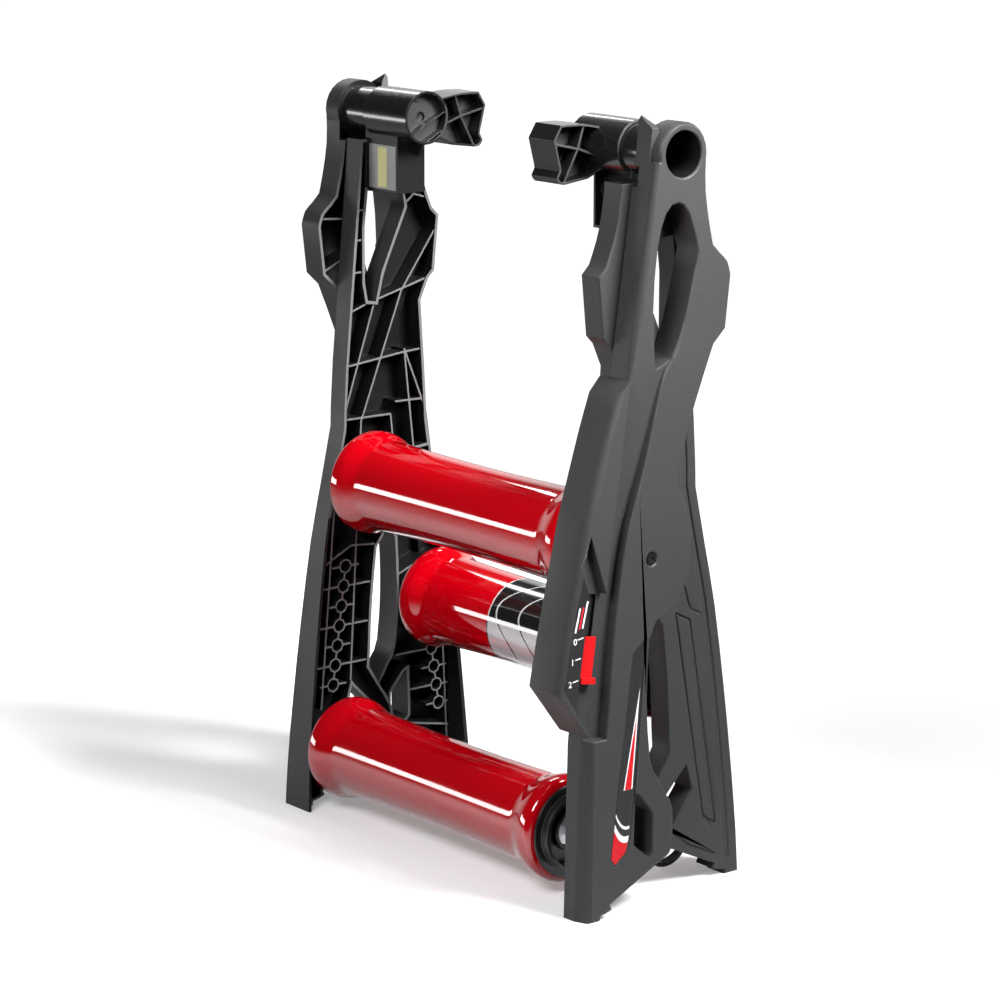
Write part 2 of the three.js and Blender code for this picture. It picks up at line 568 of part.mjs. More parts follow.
/** The outer mould, as it lies on the right of the rear frame. */
function outerBeam(axles, flare) {
  const body = outline(OUTER_OUTLINE_SHARES);
  const arch = outline(OUTER_ARCH_SHARES).reverse();
  const foot = outline(OUTER_FOOT_WINDOW_SHARES).reverse();
  const deep = OUTER_SKIN_X - SKIN;
  const strandEdge = new THREE.SplineCurve(STRAND_EDGE_SHARES.map(at))
    .getPoints(SPLINE_STEPS * STRAND_EDGE_SHARES.length);
  const strand = (grow) => [...strandEdge.map((point) => shift(point, grow, 0)),
    shift(strandEdge.at(-1), grow, -grow),
    shift(at([STRAND_BEYOND_SHARE, STRAND_EDGE_SHARES.at(-1)[1]]), 0, -grow),
    at([STRAND_BEYOND_SHARE, STRAND_EDGE_SHARES[0][1]])];
  const ribX = OUTER_OPEN_X + RIB_SETBACK;
  const keep = [
    ...OUTER_RIB_SHARES.map(([a, b]) => rib(at(a), at(b), RIB, ribX, deep)),
    ...axles.map(({ place }) => bar(place, AXLE_BOSS_RADIUS, ribX, deep, SMALL_ROUND)),
    ...ringRow(OUTER_RINGS, ribX, deep),
    slab(strand(WALL), deep - STRAND_SINK, deep),
    ...spineBacking(),
  ];
  let shell = cut(slab(body, OUTER_OPEN_X, OUTER_SKIN_X), [
    hollow(body, [arch, foot], keep, OUTER_OPEN_X, deep),
    slab(arch, OUTER_OPEN_X - OVERRUN, OUTER_SKIN_X + OVERRUN),
    slab(foot, OUTER_OPEN_X - OVERRUN, OUTER_SKIN_X + OVERRUN),
    slab(outline(STICKER_SHARES), OUTER_SKIN_X - STICKER_SINK, OUTER_SKIN_X + OVERRUN),
    slab(strand(0), OUTER_SKIN_X - STRAND_SINK, OUTER_SKIN_X + OVERRUN).intersect(wedge(
      [-1, 1].flatMap((side) => {
        const beyond = side * HINGE_HEIGHT;
        const high = STRAND_SINK_START_SHARE * HINGE_HEIGHT;
        const low = STRAND_SINK_END_SHARE * HINGE_HEIGHT;
        return [[OUTER_SKIN_X, new THREE.Vector2(beyond, high)],
          [OUTER_SKIN_X - STRAND_SINK, new THREE.Vector2(beyond, low)],
          [OUTER_SKIN_X - STRAND_SINK, new THREE.Vector2(beyond, 0)],
          [OUTER_SKIN_X + OVERRUN, new THREE.Vector2(beyond, 0)],
          [OUTER_SKIN_X + OVERRUN, new THREE.Vector2(beyond, high)]];
      }))),
    ...spineFacets(),
    ...ringHoles(OUTER_RINGS, axles, OUTER_OPEN_X, deep),
    ...axles.flatMap(({ place, screwed }) =>
      axleBore(place, OUTER_OPEN_X, OUTER_SKIN_X, screwed)),
  ]);
  if (flare) {
    const spine = [spineAt(OUTER_FLARE_TOP_SHARE * HINGE_HEIGHT),
      ...OUTER_OUTLINE_SHARES.slice(-2).map(([point]) => at(point))];
    shell = shell.add(spineFlare(spine, OUTER_OPEN_X, flare));
  }
  const bossX = OUTER_SKIN_X - BOSS_DEPTH;
  const boss = revolve([[0, SPIGOT_END_X], [SPIGOT_RADIUS, SPIGOT_END_X],
    [SPIGOT_RADIUS, bossX], [BOSS_RADIUS, bossX], [BOSS_RADIUS, OUTER_SKIN_X - BOSS_LIP_DEPTH],
    [BOSS_LIP_RADIUS, OUTER_SKIN_X], [0, OUTER_SKIN_X]], HINGE);
  const clearTop = slab([
    new THREE.Vector2(-HINGE_HEIGHT, HINGE_HEIGHT - BOSS_RADIUS),
    new THREE.Vector2(HINGE_HEIGHT, HINGE_HEIGHT - BOSS_RADIUS),
    new THREE.Vector2(HINGE_HEIGHT, HINGE_HEIGHT + BOSS_RADIUS),
    new THREE.Vector2(-HINGE_HEIGHT, HINGE_HEIGHT + BOSS_RADIUS),
  ], OUTER_OPEN_X - OVERRUN, bossX);
  const finBack = OUTER_OPEN_X + FIN_WIDTH;
  const finTop = Math.max(...FIN_SHARES.map(([point]) => at(point).y));
  const fin = slab(outline(FIN_SHARES), OUTER_OPEN_X, finBack).intersect(wedge(
    [-HINGE_HEIGHT, HINGE_HEIGHT].flatMap((beyond) => [
      [OUTER_OPEN_X, new THREE.Vector2(beyond, finTop)],
      [OUTER_OPEN_X, new THREE.Vector2(beyond, 0)],
      [finBack, new THREE.Vector2(beyond, finTop - FIN_DROP)],
      [finBack, new THREE.Vector2(beyond, 0)]])));
  return cut(join([shell.subtract(clearTop), boss, fin]), [
    bar(HINGE, SPIGOT_BORE_RADIUS, SPIGOT_END_X + SPIGOT_END_WALL, OUTER_SKIN_X + OVERRUN),
    bar(HINGE, around(PIVOT_SHANK_RADIUS + SEAT_GAP, SMALL_ROUND), SPIGOT_END_X - OVERRUN,
      SPIGOT_END_X + SPIGOT_END_WALL + OVERRUN, SMALL_ROUND),
  ]);
}

/** The sleeve, hub disc, lever arm and bracket of the inner mould, all at negative X. */
function sleeveGroup() {
  const lever = outline(LEVER_SHARES).reverse();
  const leverBack = SLEEVE_MOUTH_X + LEVER_DEPTH;
  const leverRibs = LEVER_RIB_SHARES.map(([a, b]) => rib(at(a), at(b), LEVER_WALL,
    -leverBack + RIB_SETBACK, -SLEEVE_MOUTH_X - RIB_SETBACK));
  const leverWeb = SLEEVE_MOUTH_X + (LEVER_DEPTH - LEVER_WALL) / 2;
  const pockets = [[-leverBack - OVERRUN, -leverWeb - LEVER_WALL],
    [-leverWeb, -SLEEVE_MOUTH_X + OVERRUN]].map(([x0, x1]) =>
    cut(slab(inset(lever, LEVER_WALL), x0, x1), leverRibs));
  const bracketBottom = HINGE_HEIGHT - SLEEVE_RADIUS - BRACKET_DROP;
  const bracketX = [-INNER_OPEN_X - RIB, -INNER_OPEN_X + BRACKET_LENGTH];
  const box = (y0, y1, z0, z1, x0, x1) => slab([new THREE.Vector2(y0, z0),
    new THREE.Vector2(y1, z0), new THREE.Vector2(y1, z1), new THREE.Vector2(y0, z1)], x0, x1);
  const bracket = box(BRACKET_FRONT_Y, BRACKET_BACK_Y, bracketBottom, HINGE_HEIGHT,
    ...bracketX).subtract(box(BRACKET_FRONT_Y + BRACKET_WALL, BRACKET_BACK_Y + OVERRUN,
    bracketBottom + BRACKET_WALL, HINGE_HEIGHT, bracketX[0] + BRACKET_WALL,
    bracketX[1] - BRACKET_WALL));
  const webFoot = at(WEB_FOOT_SHARE);
  const webTop = new THREE.Vector2(0, HINGE_HEIGHT - SLEEVE_RADIUS + SLEEVE_WALL);
  const web = wedge([-RIB / 2, RIB / 2].flatMap((half) => [
    [-SLEEVE_MOUTH_X - RIB_SETBACK, shift(webTop, half, 0)],
    [-INNER_OPEN_X - RIB, shift(webTop, half, 0)],
    [-INNER_OPEN_X - RIB, shift(webFoot, half, 0)]]));
  const tube = bar(HINGE, SLEEVE_RADIUS, -SLEEVE_ROOT_X, -SLEEVE_MOUTH_X);
  const leverArm = cut(slab(lever, -leverBack, -SLEEVE_MOUTH_X), pockets);
  const group = join([tube, leverArm, bracket, web]);
  const hollows = [
    bar(HINGE, SLEEVE_BORE_RADIUS, -INNER_SKIN_X - OVERRUN, -HUB_DISC_X - HUB_DISC_WALL),
    bar(HINGE, SLEEVE_BORE_RADIUS, -HUB_DISC_X, -SLEEVE_MOUTH_X + OVERRUN),
    bar(HINGE, HUB_HOLE_RADIUS, -HUB_DISC_X - HUB_DISC_WALL - OVERRUN, -HUB_DISC_X + OVERRUN,
      SMALL_ROUND),
    bar(at(HUB_PIN_HOLE_SHARE), HUB_PIN_HOLE_RADIUS, -HUB_DISC_X - HUB_DISC_WALL - OVERRUN,
      -HUB_DISC_X + OVERRUN, SMALL_ROUND),
  ];
  const mouth = MOUTH_RIB_SHARES.map(([a, b]) => rib(at(a), at(b), RIB / 2, -HUB_DISC_X,
    -SLEEVE_MOUTH_X - OVERRUN)).map((line) => line.intersect(bar(HINGE,
    SLEEVE_BORE_RADIUS + SLEEVE_WALL / 2, -HUB_DISC_X - OVERRUN, -SLEEVE_MOUTH_X)));
  const hole = bar(HINGE, HUB_HOLE_RADIUS, -HUB_DISC_X - OVERRUN, -SLEEVE_MOUTH_X + OVERRUN,
    SMALL_ROUND);
  const pip = bar(at(HUB_PIP_SHARE), HUB_PIP_RADIUS, -HUB_DISC_X - OVERRUN,
    -HUB_DISC_X + HUB_PIP_HEIGHT, SMALL_ROUND);
  return join([cut(group, hollows), ...mouth.map((line) => line.subtract(hole)), pip]);
}

/** The inner mould, as it lies on the left of the rear frame, open towards +X. */
function innerBeam(axles) {
  const top = HINGE_HEIGHT - SLEEVE_RADIUS;
  const topRow = [at(INNER_OUTLINE_SHARES.at(-1).at(-1)).setY(top),
    at([SPINE_TOP_SHARE, 1]).setY(top)];
  const closing = outline([[[SPINE_TOP_SHARE, top / HINGE_HEIGHT]], ...INNER_SPINE_SHARES])
    .slice(1);
  const back = outline([...INNER_OUTLINE_SHARES, [INNER_SPINE_SHARES.at(-1).at(-1)]])
    .slice(0, -1).filter((point) => point.y < top - WALL);
  const body = [...back, ...topRow, ...closing];
  const arch = outline(INNER_ARCH_SHARES);
  const foot = outline(INNER_FOOT_WINDOW_SHARES);
  const deep = -INNER_SKIN_X + SKIN;
  const ribX = -INNER_OPEN_X - RIB_SETBACK;
  const keep = [
    ...[...INNER_RIB_SHARES, ...INNER_RAIL_SHARES].map(([a, b]) =>
      rib(at(a), at(b), RIB, deep, ribX)),
    ...ringRow(INNER_RINGS, deep, ribX),
    ...axles.map(({ place }) => bar(place, AXLE_BOSS_RADIUS, deep, ribX, SMALL_ROUND)),
  ];
  const shell = slab(body, -INNER_SKIN_X, -INNER_OPEN_X)
    .subtract(hollow(body, [arch, foot], keep, -INNER_OPEN_X, deep));
  const spine = closing.slice(SPLINE_STEPS * INNER_SPINE_SHARES[0].length - 1);
  const flare = spineFlare(spine.slice(SPLINE_STEPS), -INNER_OPEN_X, INNER_FLARE);
  const groove = (points) => points.slice(1).map((point, i) =>
    rib(at(points[i]), at(point), GROOVE_WIDTH, -INNER_SKIN_X - OVERRUN,
      -INNER_SKIN_X + GROOVE_DEPTH));
  const panel = SKIN_PANEL_SHARES.map(([point]) => point);
  const tools = [
    slab(arch, -INNER_SKIN_X - OVERRUN, -INNER_OPEN_X + OVERRUN),
    slab(foot, -INNER_SKIN_X - OVERRUN, -INNER_OPEN_X + OVERRUN),
    slab(strip(closing.slice(SPLINE_STEPS, -1), CHANNEL_NEAR, CHANNEL_FAR),
      -INNER_SKIN_X - OVERRUN, -INNER_SKIN_X + CHANNEL_DEPTH),
    ...groove([...panel, panel[0]]),
    ...groove(SKIN_HOOK_SHARES),
    ...groove(SKIN_TOE_SHARES),
    ...ringHoles(INNER_RINGS, axles, -INNER_OPEN_X, deep),
    ...axles.flatMap(({ place, screwed }) =>
      axleBore(place, -INNER_OPEN_X, -INNER_SKIN_X, screwed)),
  ];
  return join([cut(shell.add(flare), tools), sleeveGroup()]);
}

const MATERIALS = {
  charcoal: { color: 0x3c3d3f, roughness: 0.55, metalness: 0 },
  black: { color: 0x151517, roughness: 0.4, metalness: 0 },
  red: { color: 0xb8000f, roughness: 0.15, metalness: 0 },
  steel: { color: 0x9a9da0, roughness: 0.3, metalness: 1 },
  alloy: { color: 0xc4c6c8, roughness: 0.35, metalness: 1 },
  magnet: { color: 0x6d7075, roughness: 0.35, metalness: 1 },
  belt: { color: 0x101011, roughness: 0.7, metalness: 0 },
};

const rollers = new THREE.Group();

/** Adds a solid to the model, or to a group of it, as a named sub-part. */
function place(name, solid, finish, group = rollers) {
  const mesh = new THREE.Mesh(toGeometry(solid),
    new THREE.MeshStandardMaterial(MATERIALS[finish]));
  mesh.name = name;
  group.add(mesh);
}

/** A [radius, x] profile as it is on the right (side 1) or mirrored to the left (side -1). */
const mirrored = (points, side = -1) =>
  (side < 0 ? points.map(([radius, x]) => [radius, -x]).reverse() : points);

/** Half profile of a drum from its end to its middle, as [radius, distance from the end]. */
function drumEnd() {
  const neck = DRUM_COLLAR_WIDTH;
  const lip = DRUM_RIM_WIDTH / 2;
  const fall = DRUM_RIM_RADIUS - DRUM_NECK_RADIUS;
  return [
    [DRUM_END_RADIUS, 0],
    [DRUM_RIM_RADIUS - fall * DRUM_LIP_SHARES.fall, lip * DRUM_LIP_SHARES.width],
    [DRUM_RIM_RADIUS, lip], [DRUM_RIM_RADIUS, DRUM_RIM_WIDTH],
    ...DRUM_COLLAR_SHARES.map(([out, along]) =>
      [DRUM_NECK_RADIUS + fall * out, DRUM_RIM_WIDTH + (neck - DRUM_RIM_WIDTH) * along]),
    [DRUM_NECK_RADIUS, neck],
  ];
}

/** One drum: tube with flared ends, two end caps with bearings, axle and spacers. */
function drum(name, axle, leftSkinX, rightSkinX, screws) {
  const half = DRUM_LENGTH / 2;
  const end = drumEnd();
  const profile = [
    ...end.map(([radius, x]) => [radius, x - half]),
    [DRUM_CENTRE_RADIUS, 0],
    ...end.map(([radius, x]) => [radius, half - x]).reverse(),
    [DRUM_BORE_RADIUS, half], [DRUM_BORE_RADIUS, -half], [DRUM_END_RADIUS, -half],
  ];
  place(`${name}_tube`, revolve(profile, axle, ROUND), "red");

  const plug = within(DRUM_BORE_RADIUS, ROUND) - SEAT_GAP;
  const seat = around(BEARING_RADIUS + SEAT_GAP, CAP_ROUND);
  const face = half + SEAT_GAP + CAP_FLANGE;
  const bearingIn = face - CAP_FLANGE - BEARING_WIDTH;
  const inner = half - CAP_PLUG_LENGTH;
  const dish = face - CAP_DISH;
  const ring = (outer) => [
    [seat, inner], [plug, inner], [plug, half + SEAT_GAP], [CAP_FLANGE_RADIUS, half + SEAT_GAP],
    [CAP_FLANGE_RADIUS, face], ...outer, [seat, face], [seat, inner],
  ];
  const plain = ring([]);
  const groove = PULLEY_WIDTH / 4;
  const pulley = ring([
    [PULLEY_RADIUS, face], [PULLEY_RADIUS, face + groove],
    [PULLEY_RADIUS - PULLEY_GROOVE_DEPTH, face + PULLEY_WIDTH / 2],
    [PULLEY_RADIUS, face + PULLEY_WIDTH - groove], [PULLEY_RADIUS, face + PULLEY_WIDTH],
    [CAP_DISH_RADIUS, face + PULLEY_WIDTH], [CAP_DISH_RADIUS, dish], [HUB_SEAT_RADIUS, dish],
    [HUB_SEAT_RADIUS, face]]);
  place(`${name}_cap_left`, revolve(mirrored(plain), axle, CAP_ROUND), "black");
  place(`${name}_cap_right`, revolve(pulley, axle, CAP_ROUND), "black");

  const bore = AXLE_RADIUS + SEAT_GAP;
  const hexBore = around(bore, HEXAGON);
  const raceBore = around(bore, SMALL_ROUND);
  const race = [[raceBore, bearingIn], [BEARING_RADIUS, bearingIn],
    [BEARING_RADIUS, bearingIn + BEARING_WIDTH], [raceBore, bearingIn + BEARING_WIDTH],
    [raceBore, bearingIn]];
  place(`${name}_bearing_left`, revolve(mirrored(race), axle, SMALL_ROUND), "steel");
  place(`${name}_bearing_right`, revolve(race, axle, SMALL_ROUND), "steel");

  const leftEnd = leftSkinX - SKIN - SEAT_GAP;
  const rightEnd = rightSkinX - SKIN - SEAT_GAP;
  const tapped = [[screws.left, -1], [screws.right, 1]].filter(([used]) => used).map(([, side]) => {
    const tip = side < 0 ? leftEnd : rightEnd;
    return bar(axle, AXLE_SCREW_SHANK_RADIUS + SEAT_GAP,
      side * (tip - AXLE_SCREW_LENGTH), side * (tip + OVERRUN), SMALL_ROUND);
  });
  place(`${name}_axle`, cut(bar(axle, AXLE_RADIUS, -leftEnd, rightEnd, SMALL_ROUND), tapped),
    "steel");

  const bearingOut = bearingIn + BEARING_WIDTH + SEAT_GAP;
  const spacer = (skinX) => {
    const depth = skinX === OUTER_SKIN_X ? OUTER_BEAM_DEPTH : INNER_BEAM_DEPTH;
    const stop = skinX - depth + RIB_SETBACK - SEAT_GAP;
    return [[hexBore, bearingOut], [SPACER_RADIUS, bearingOut], [SPACER_RADIUS, stop],
      [hexBore, stop], [hexBore, bearingOut]];
  };
  place(`${name}_spacer_left`, revolve(mirrored(spacer(leftSkinX)), axle, HEXAGON), "steel");
  place(`${name}_spacer_right`, revolve(spacer(rightSkinX), axle, HEXAGON), "steel");

  const screw = (skinX) => {
    const head = skinX - AXLE_SCREW_HEAD_LENGTH + SEAT_GAP;
    const tip = skinX - SKIN - SEAT_GAP - AXLE_SCREW_LENGTH + SEAT_GAP;
    const top = skinX - SEAT_GAP;
    const socket = (head + top) / 2;
    return [[0, tip], [AXLE_SCREW_SHANK_RADIUS, tip], [AXLE_SCREW_SHANK_RADIUS, head],
      [AXLE_SCREW_HEAD_RADIUS, head], [AXLE_SCREW_HEAD_RADIUS, top],
      [AXLE_SCREW_SOCKET_RADIUS, top], [AXLE_SCREW_SOCKET_RADIUS, socket], [0, socket]];
  };
  if (screws.left) {
    place(`${name}_screw_left`, revolve(mirrored(screw(leftSkinX)), axle, SMALL_ROUND), "black");
  }
  if (screws.right) {
    place(`${name}_screw_right`, revolve(screw(rightSkinX), axle, SMALL_ROUND), "black");
  }
  return face + PULLEY_WIDTH;
}

/** Disc on the top drum's pulley, which the magnets brake. */
function brakeDisc(pulleyFace) {
  const x0 = pulleyFace + SEAT_GAP;
  const x1 = x0 + BRAKE_DISC_THICKNESS;
  place("brake_disc", revolve([[HUB_SEAT_RADIUS, x0], [BRAKE_DISC_RADIUS, x0],
    [BRAKE_DISC_RADIUS, x1], [HUB_SEAT_RADIUS, x1], [HUB_SEAT_RADIUS, x0]], TOP_AXLE), "alloy");
  return x1;
}

/** A point of the housing's track frame: along the spine's slope and square to it. */
function track(origin, across, along) {
  return shift(origin, SPINE_SLOPE.x * along + SPINE_SLOPE.y * across,
    SPINE_SLOPE.y * along - SPINE_SLOPE.x * across);
}
const trackBox = (origin, width, length, x0, x1) => slab([
  track(origin, -width / 2, -length / 2), track(origin, width / 2, -length / 2),
  track(origin, width / 2, length / 2), track(origin, -width / 2, length / 2)], x0, x1);

/** Cuts that facet the housing's outer edge, one along each side of its front. */
function housingFacets(front) {
  return front.slice(1, -1).map((point, i) => {
    const [a, b] = [front[i], point];
    const inward = new THREE.Vector2(a.y - b.y, b.x - a.x).normalize();
    const reach = b.clone().sub(a).setLength(HOUSING_FACET);
    return wedge([a.clone().sub(reach), b.clone().add(reach)].flatMap((end) => {
      const ahead = end.clone().addScaledVector(inward, -OVERRUN);
      const back = end.clone().addScaledVector(inward, HOUSING_FACET / 2);
      return [[OUTER_SKIN_X - HOUSING_FACET, end], [OUTER_SKIN_X - HOUSING_FACET, ahead],
        [OUTER_SKIN_X, back], [OUTER_SKIN_X + OVERRUN, back], [OUTER_SKIN_X + OVERRUN, ahead]];
    }));
  });
}

/** Housing in front of the spine, with its setting track and the sliding magnets inside. */
function resistanceUnit(discFace) {
  const front = outline(HOUSING_SHARES);
  const seat = (z) => shift(spineAt(z), -SEAT_GAP, 0);
  const body = [...front.slice(0, -1), seat(front.at(-1).y),
    seat(HOUSING_TOP_SHARE * HINGE_HEIGHT)];
  const floorX = OUTER_SKIN_X - CHANNEL_SINK;
  const insideX = floorX - HOUSING_WALL;
  const slider = at(SLIDER_SHARE);
  const slotWidth = SLIDER_WIDTH - 2 * HOUSING_WALL;
  const slotLength = SLIDER_LENGTH + SLIDER_TRAVEL - 2 * HOUSING_WALL;
  place("resistance_housing", cut(slab(body, HOUSING_INNER_X, OUTER_SKIN_X), [
    slab(inset(body, HOUSING_WALL), HOUSING_INNER_X - OVERRUN, insideX),
    slab(outline(HOUSING_TRACK_SHARES), floorX, OUTER_SKIN_X + OVERRUN),
    trackBox(track(slider, 0, SLIDER_TRAVEL / 2), slotWidth, slotLength, insideX - OVERRUN,
      floorX + OVERRUN),
    ...housingFacets(front),
  ]), "charcoal");

  const knob = trackBox(slider, SLIDER_WIDTH, SLIDER_LENGTH, floorX + SEAT_GAP,
    floorX + SLIDER_STAND);
  const neck = trackBox(slider, slotWidth - 2 * SEAT_GAP, slotLength - SLIDER_TRAVEL
    - 2 * SEAT_GAP, insideX - SEAT_GAP, floorX + SLIDER_STAND / 2);
  const tab = trackBox(track(slider, 0, (SLIDER_TAB_HEIGHT - SLIDER_LENGTH) / 2),
    SLIDER_TAB_WIDTH, SLIDER_TAB_HEIGHT, floorX + SLIDER_STAND / 2, OUTER_SKIN_X);
  place("resistance_slider", join([knob, neck, tab]), "red");

  const backX = insideX - 2 * SEAT_GAP;
  const plateX = backX - CARRIER_THICKNESS;
  const magnetX = discFace + MAGNET_AIR_GAP;
  const seatX = magnetX + MAGNET_THICKNESS + SEAT_GAP;
  const headLength = MAGNET_PITCH * MAGNET_COUNT;
  const head = track(slider, 0, CARRIER_HEAD - headLength / 2);
  const spine = trackBox(track(slider, 0, (CARRIER_HEAD - CARRIER_TAIL) / 2), CARRIER_WIDTH,
    CARRIER_HEAD + CARRIER_TAIL, plateX, backX);
  const arm = trackBox(head, CARRIER_THICKNESS, headLength - CARRIER_STEP,
    seatX + CARRIER_STEP / 2, backX - CARRIER_STEP);
  const pad = trackBox(track(head, MAGNET_OFFSET, 0), 2 * (MAGNET_OFFSET + MAGNET_RADIUS / 2),
    headLength - 2 * CARRIER_STEP, seatX, seatX + CARRIER_THICKNESS);
  place("magnet_carrier", join([spine, arm, pad]), "black");
  for (let i = 0; i < MAGNET_COUNT; i += 1) {
    const along = (i - (MAGNET_COUNT - 1) / 2) * MAGNET_PITCH;
    place(`brake_magnet_${i + 1}`, bar(track(head, MAGNET_OFFSET, along), MAGNET_RADIUS,
      magnetX, seatX - SEAT_GAP, SMALL_ROUND), "magnet");
  }
}

/** Screw that holds a spigot in its sleeve, driven from inside the spigot. */
function pivotScrew(name, side) {
  const tip = HUB_DISC_X + PIVOT_TIP_SETBACK;
  const head = SPIGOT_END_X + SPIGOT_END_WALL + SEAT_GAP;
  const top = head + PIVOT_HEAD_LENGTH;
  const profile = [[0, tip], [PIVOT_SHANK_RADIUS, tip], [PIVOT_SHANK_RADIUS, head],
    [PIVOT_HEAD_RADIUS, head], [PIVOT_HEAD_RADIUS, top], [PIVOT_SOCKET_RADIUS, top],
    [PIVOT_SOCKET_RADIUS, head], [0, head]];
  place(name, revolve(mirrored(profile, side), HINGE, SMALL_ROUND), "steel");
}

/** Least gap between the belt's turns, measured on points along its closed centre line. */
function beltGap(line, turnLength) {
  const points = line.flatMap((point, i) => Array.from({ length: BELT_PROBES }, (_, k) =>
    point.clone().lerp(line[(i + 1) % line.length], k / BELT_PROBES)));
  const apart = turnLength * BELT_PROBES / 2;
  const gaps = points.flatMap((point, i) => points.slice(i + apart, i + points.length - apart)
    .map((other) => point.distanceTo(other)));
  return gaps.reduce((least, gap) => Math.min(least, gap)) - 2 * BELT_RADIUS;
}

/** The slack belt, wound in turns over the front drum's pulley and hanging to the floor. */
function beltLoop(pulleyFlangeX) {
  const clear = BELT_BUNDLE_RADIUS + BELT_RADIUS;
  const x0 = pulleyFlangeX + SEAT_GAP + clear;
  const over = { centre: turned(FRONT_AXLE), radius: PULLEY_RADIUS + SEAT_GAP + clear };
  const toe = {
    centre: new THREE.Vector2(over.centre.x + BELT_TOE_OFFSET,
      BELT_FLOOR_GAP + clear + BELT_TOE_RADIUS),
    radius: BELT_TOE_RADIUS,
  };
  const down = toe.centre.clone().sub(over.centre);
  const heading = Math.atan2(down.y, down.x);
  const lean = Math.acos((over.radius - toe.radius) / down.length());
  const arc = ({ centre, radius }, from, to) => {
    const step = (to - from) / BELT_ARC_STEPS;
    const round = radius / Math.cos(step / 2);
    return Array.from({ length: BELT_ARC_STEPS + 1 }, (_, i) => {
      const out = new THREE.Vector2(Math.cos(from + step * i), Math.sin(from + step * i));
      return { point: centre.clone().addScaledVector(out, round), out };
    });
  };
  const turn = [...arc(over, heading + lean, heading + 2 * Math.PI - lean),
    ...arc(toe, heading - lean, heading + lean)];
  const count = turn.length * BELT_TURNS;
  const line = Array.from({ length: count }, (_, i) => {
    const { point, out } = turn[i % turn.length];
    const phase = 2 * Math.PI * i / count;
    const reach = BELT_BUNDLE_RADIUS * Math.sin(phase);
    return new THREE.Vector3(x0 + BELT_BUNDLE_RADIUS * Math.cos(phase), point.x + out.x * reach,
      point.y + out.y * reach);
  });
  console.log(`drive_belt: least gap to itself ${beltGap(line, turn.length).toFixed(2)} mm`);
  const positions = [];
  const faces = [];
  for (let i = 0; i < count; i += 1) {
    const { out } = turn[i % turn.length];
    const centre = line[i];
    for (let k = 0; k < BELT_SIDES; k += 1) {
      const angle = 2 * Math.PI * k / BELT_SIDES;
      const across = BELT_RADIUS * Math.cos(angle);
      positions.push(centre.x + BELT_RADIUS * Math.sin(angle), centre.y + out.x * across,
        centre.z + out.y * across);
      const [a, b] = [i * BELT_SIDES + k, i * BELT_SIDES + (k + 1) % BELT_SIDES];
      const [c, d] = [a, b].map((v) => (v + BELT_SIDES) % (count * BELT_SIDES));
      faces.push(a, c, b, b, c, d);
    }
  }
  const geometry = new THREE.BufferGeometry();
  geometry.setAttribute("position", new THREE.Float32BufferAttribute(positions, 3));
  geometry.setIndex(faces);
  place("drive_belt", toSolid(geometry), "belt");
}

place("rear_beam_left", innerBeam([
  { place: TOP_AXLE, screwed: true }, { place: REAR_AXLE, screwed: true }]), "charcoal");
place("rear_beam_right", outerBeam([
  { place: TOP_AXLE, screwed: true }, { place: REAR_AXLE, screwed: false }]), "charcoal");

// The front frame's beams are the same two moulds, turned half round.
const frontFrame = new THREE.Group();
frontFrame.rotation.z = Math.PI;
rollers.add(frontFrame);
place("front_beam_left", outerBeam([{ place: FRONT_AXLE, screwed: true }], OUTER_FLARE),
  "charcoal", frontFrame);
place("front_beam_right", innerBeam([{ place: FRONT_AXLE, screwed: false }]), "charcoal",
  frontFrame);

const pulleyFace = drum("top_drum", TOP_AXLE, INNER_SKIN_X, OUTER_SKIN_X,
  { left: true, right: true });
drum("rear_drum", REAR_AXLE, INNER_SKIN_X, OUTER_SKIN_X, { left: true, right: false });
drum("front_drum", turned(FRONT_AXLE), OUTER_SKIN_X, INNER_SKIN_X,
  { left: true, right: false });
resistanceUnit(brakeDisc(pulleyFace));
pivotScrew("pivot_screw_left", -1);
pivotScrew("pivot_screw_right", 1);
beltLoop(pulleyFace - PULLEY_WIDTH);

const bounds = new THREE.Box3().setFromObject(rollers);
const centre = bounds.getCenter(new THREE.Vector3());
rollers.position.set(-centre.x, -centre.y, -bounds.min.z);

export default rollers;
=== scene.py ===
"""Folding bike rollers, folded and standing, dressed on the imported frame."""
import logging
import math
from dataclasses import dataclass, field
from enum import Enum
from functools import partial

import bpy
from mathutils import Matrix, Vector
from mathutils.bvhtree import BVHTree


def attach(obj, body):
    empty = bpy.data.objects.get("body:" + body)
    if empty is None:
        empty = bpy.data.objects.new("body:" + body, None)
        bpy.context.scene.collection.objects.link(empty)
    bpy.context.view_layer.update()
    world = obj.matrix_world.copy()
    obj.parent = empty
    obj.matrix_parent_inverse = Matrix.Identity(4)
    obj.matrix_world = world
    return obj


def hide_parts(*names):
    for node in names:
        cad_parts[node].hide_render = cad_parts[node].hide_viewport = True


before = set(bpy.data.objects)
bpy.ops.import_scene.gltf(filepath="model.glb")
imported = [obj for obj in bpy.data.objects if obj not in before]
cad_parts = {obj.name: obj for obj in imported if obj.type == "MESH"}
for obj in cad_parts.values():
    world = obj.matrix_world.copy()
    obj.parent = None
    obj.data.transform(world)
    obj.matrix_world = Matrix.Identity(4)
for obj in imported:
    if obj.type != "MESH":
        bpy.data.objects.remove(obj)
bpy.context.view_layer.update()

MM = 0.001
# Points of one mesh that lie closer than this, in metres, are the same point.
MERGE = 1e-6
LOG = logging.getLogger("rollers")

Colour = tuple[float, float, float]
Place = tuple[float, float]
Spot = tuple[float, float, float]


def grey(level: float, blue: float = 1.03) -> Colour:
    """Returns a neutral linear colour of that level, with a trace more blue."""
    return (level, level, level * blue)


# ---------------------------------------------------------------- shader graphs


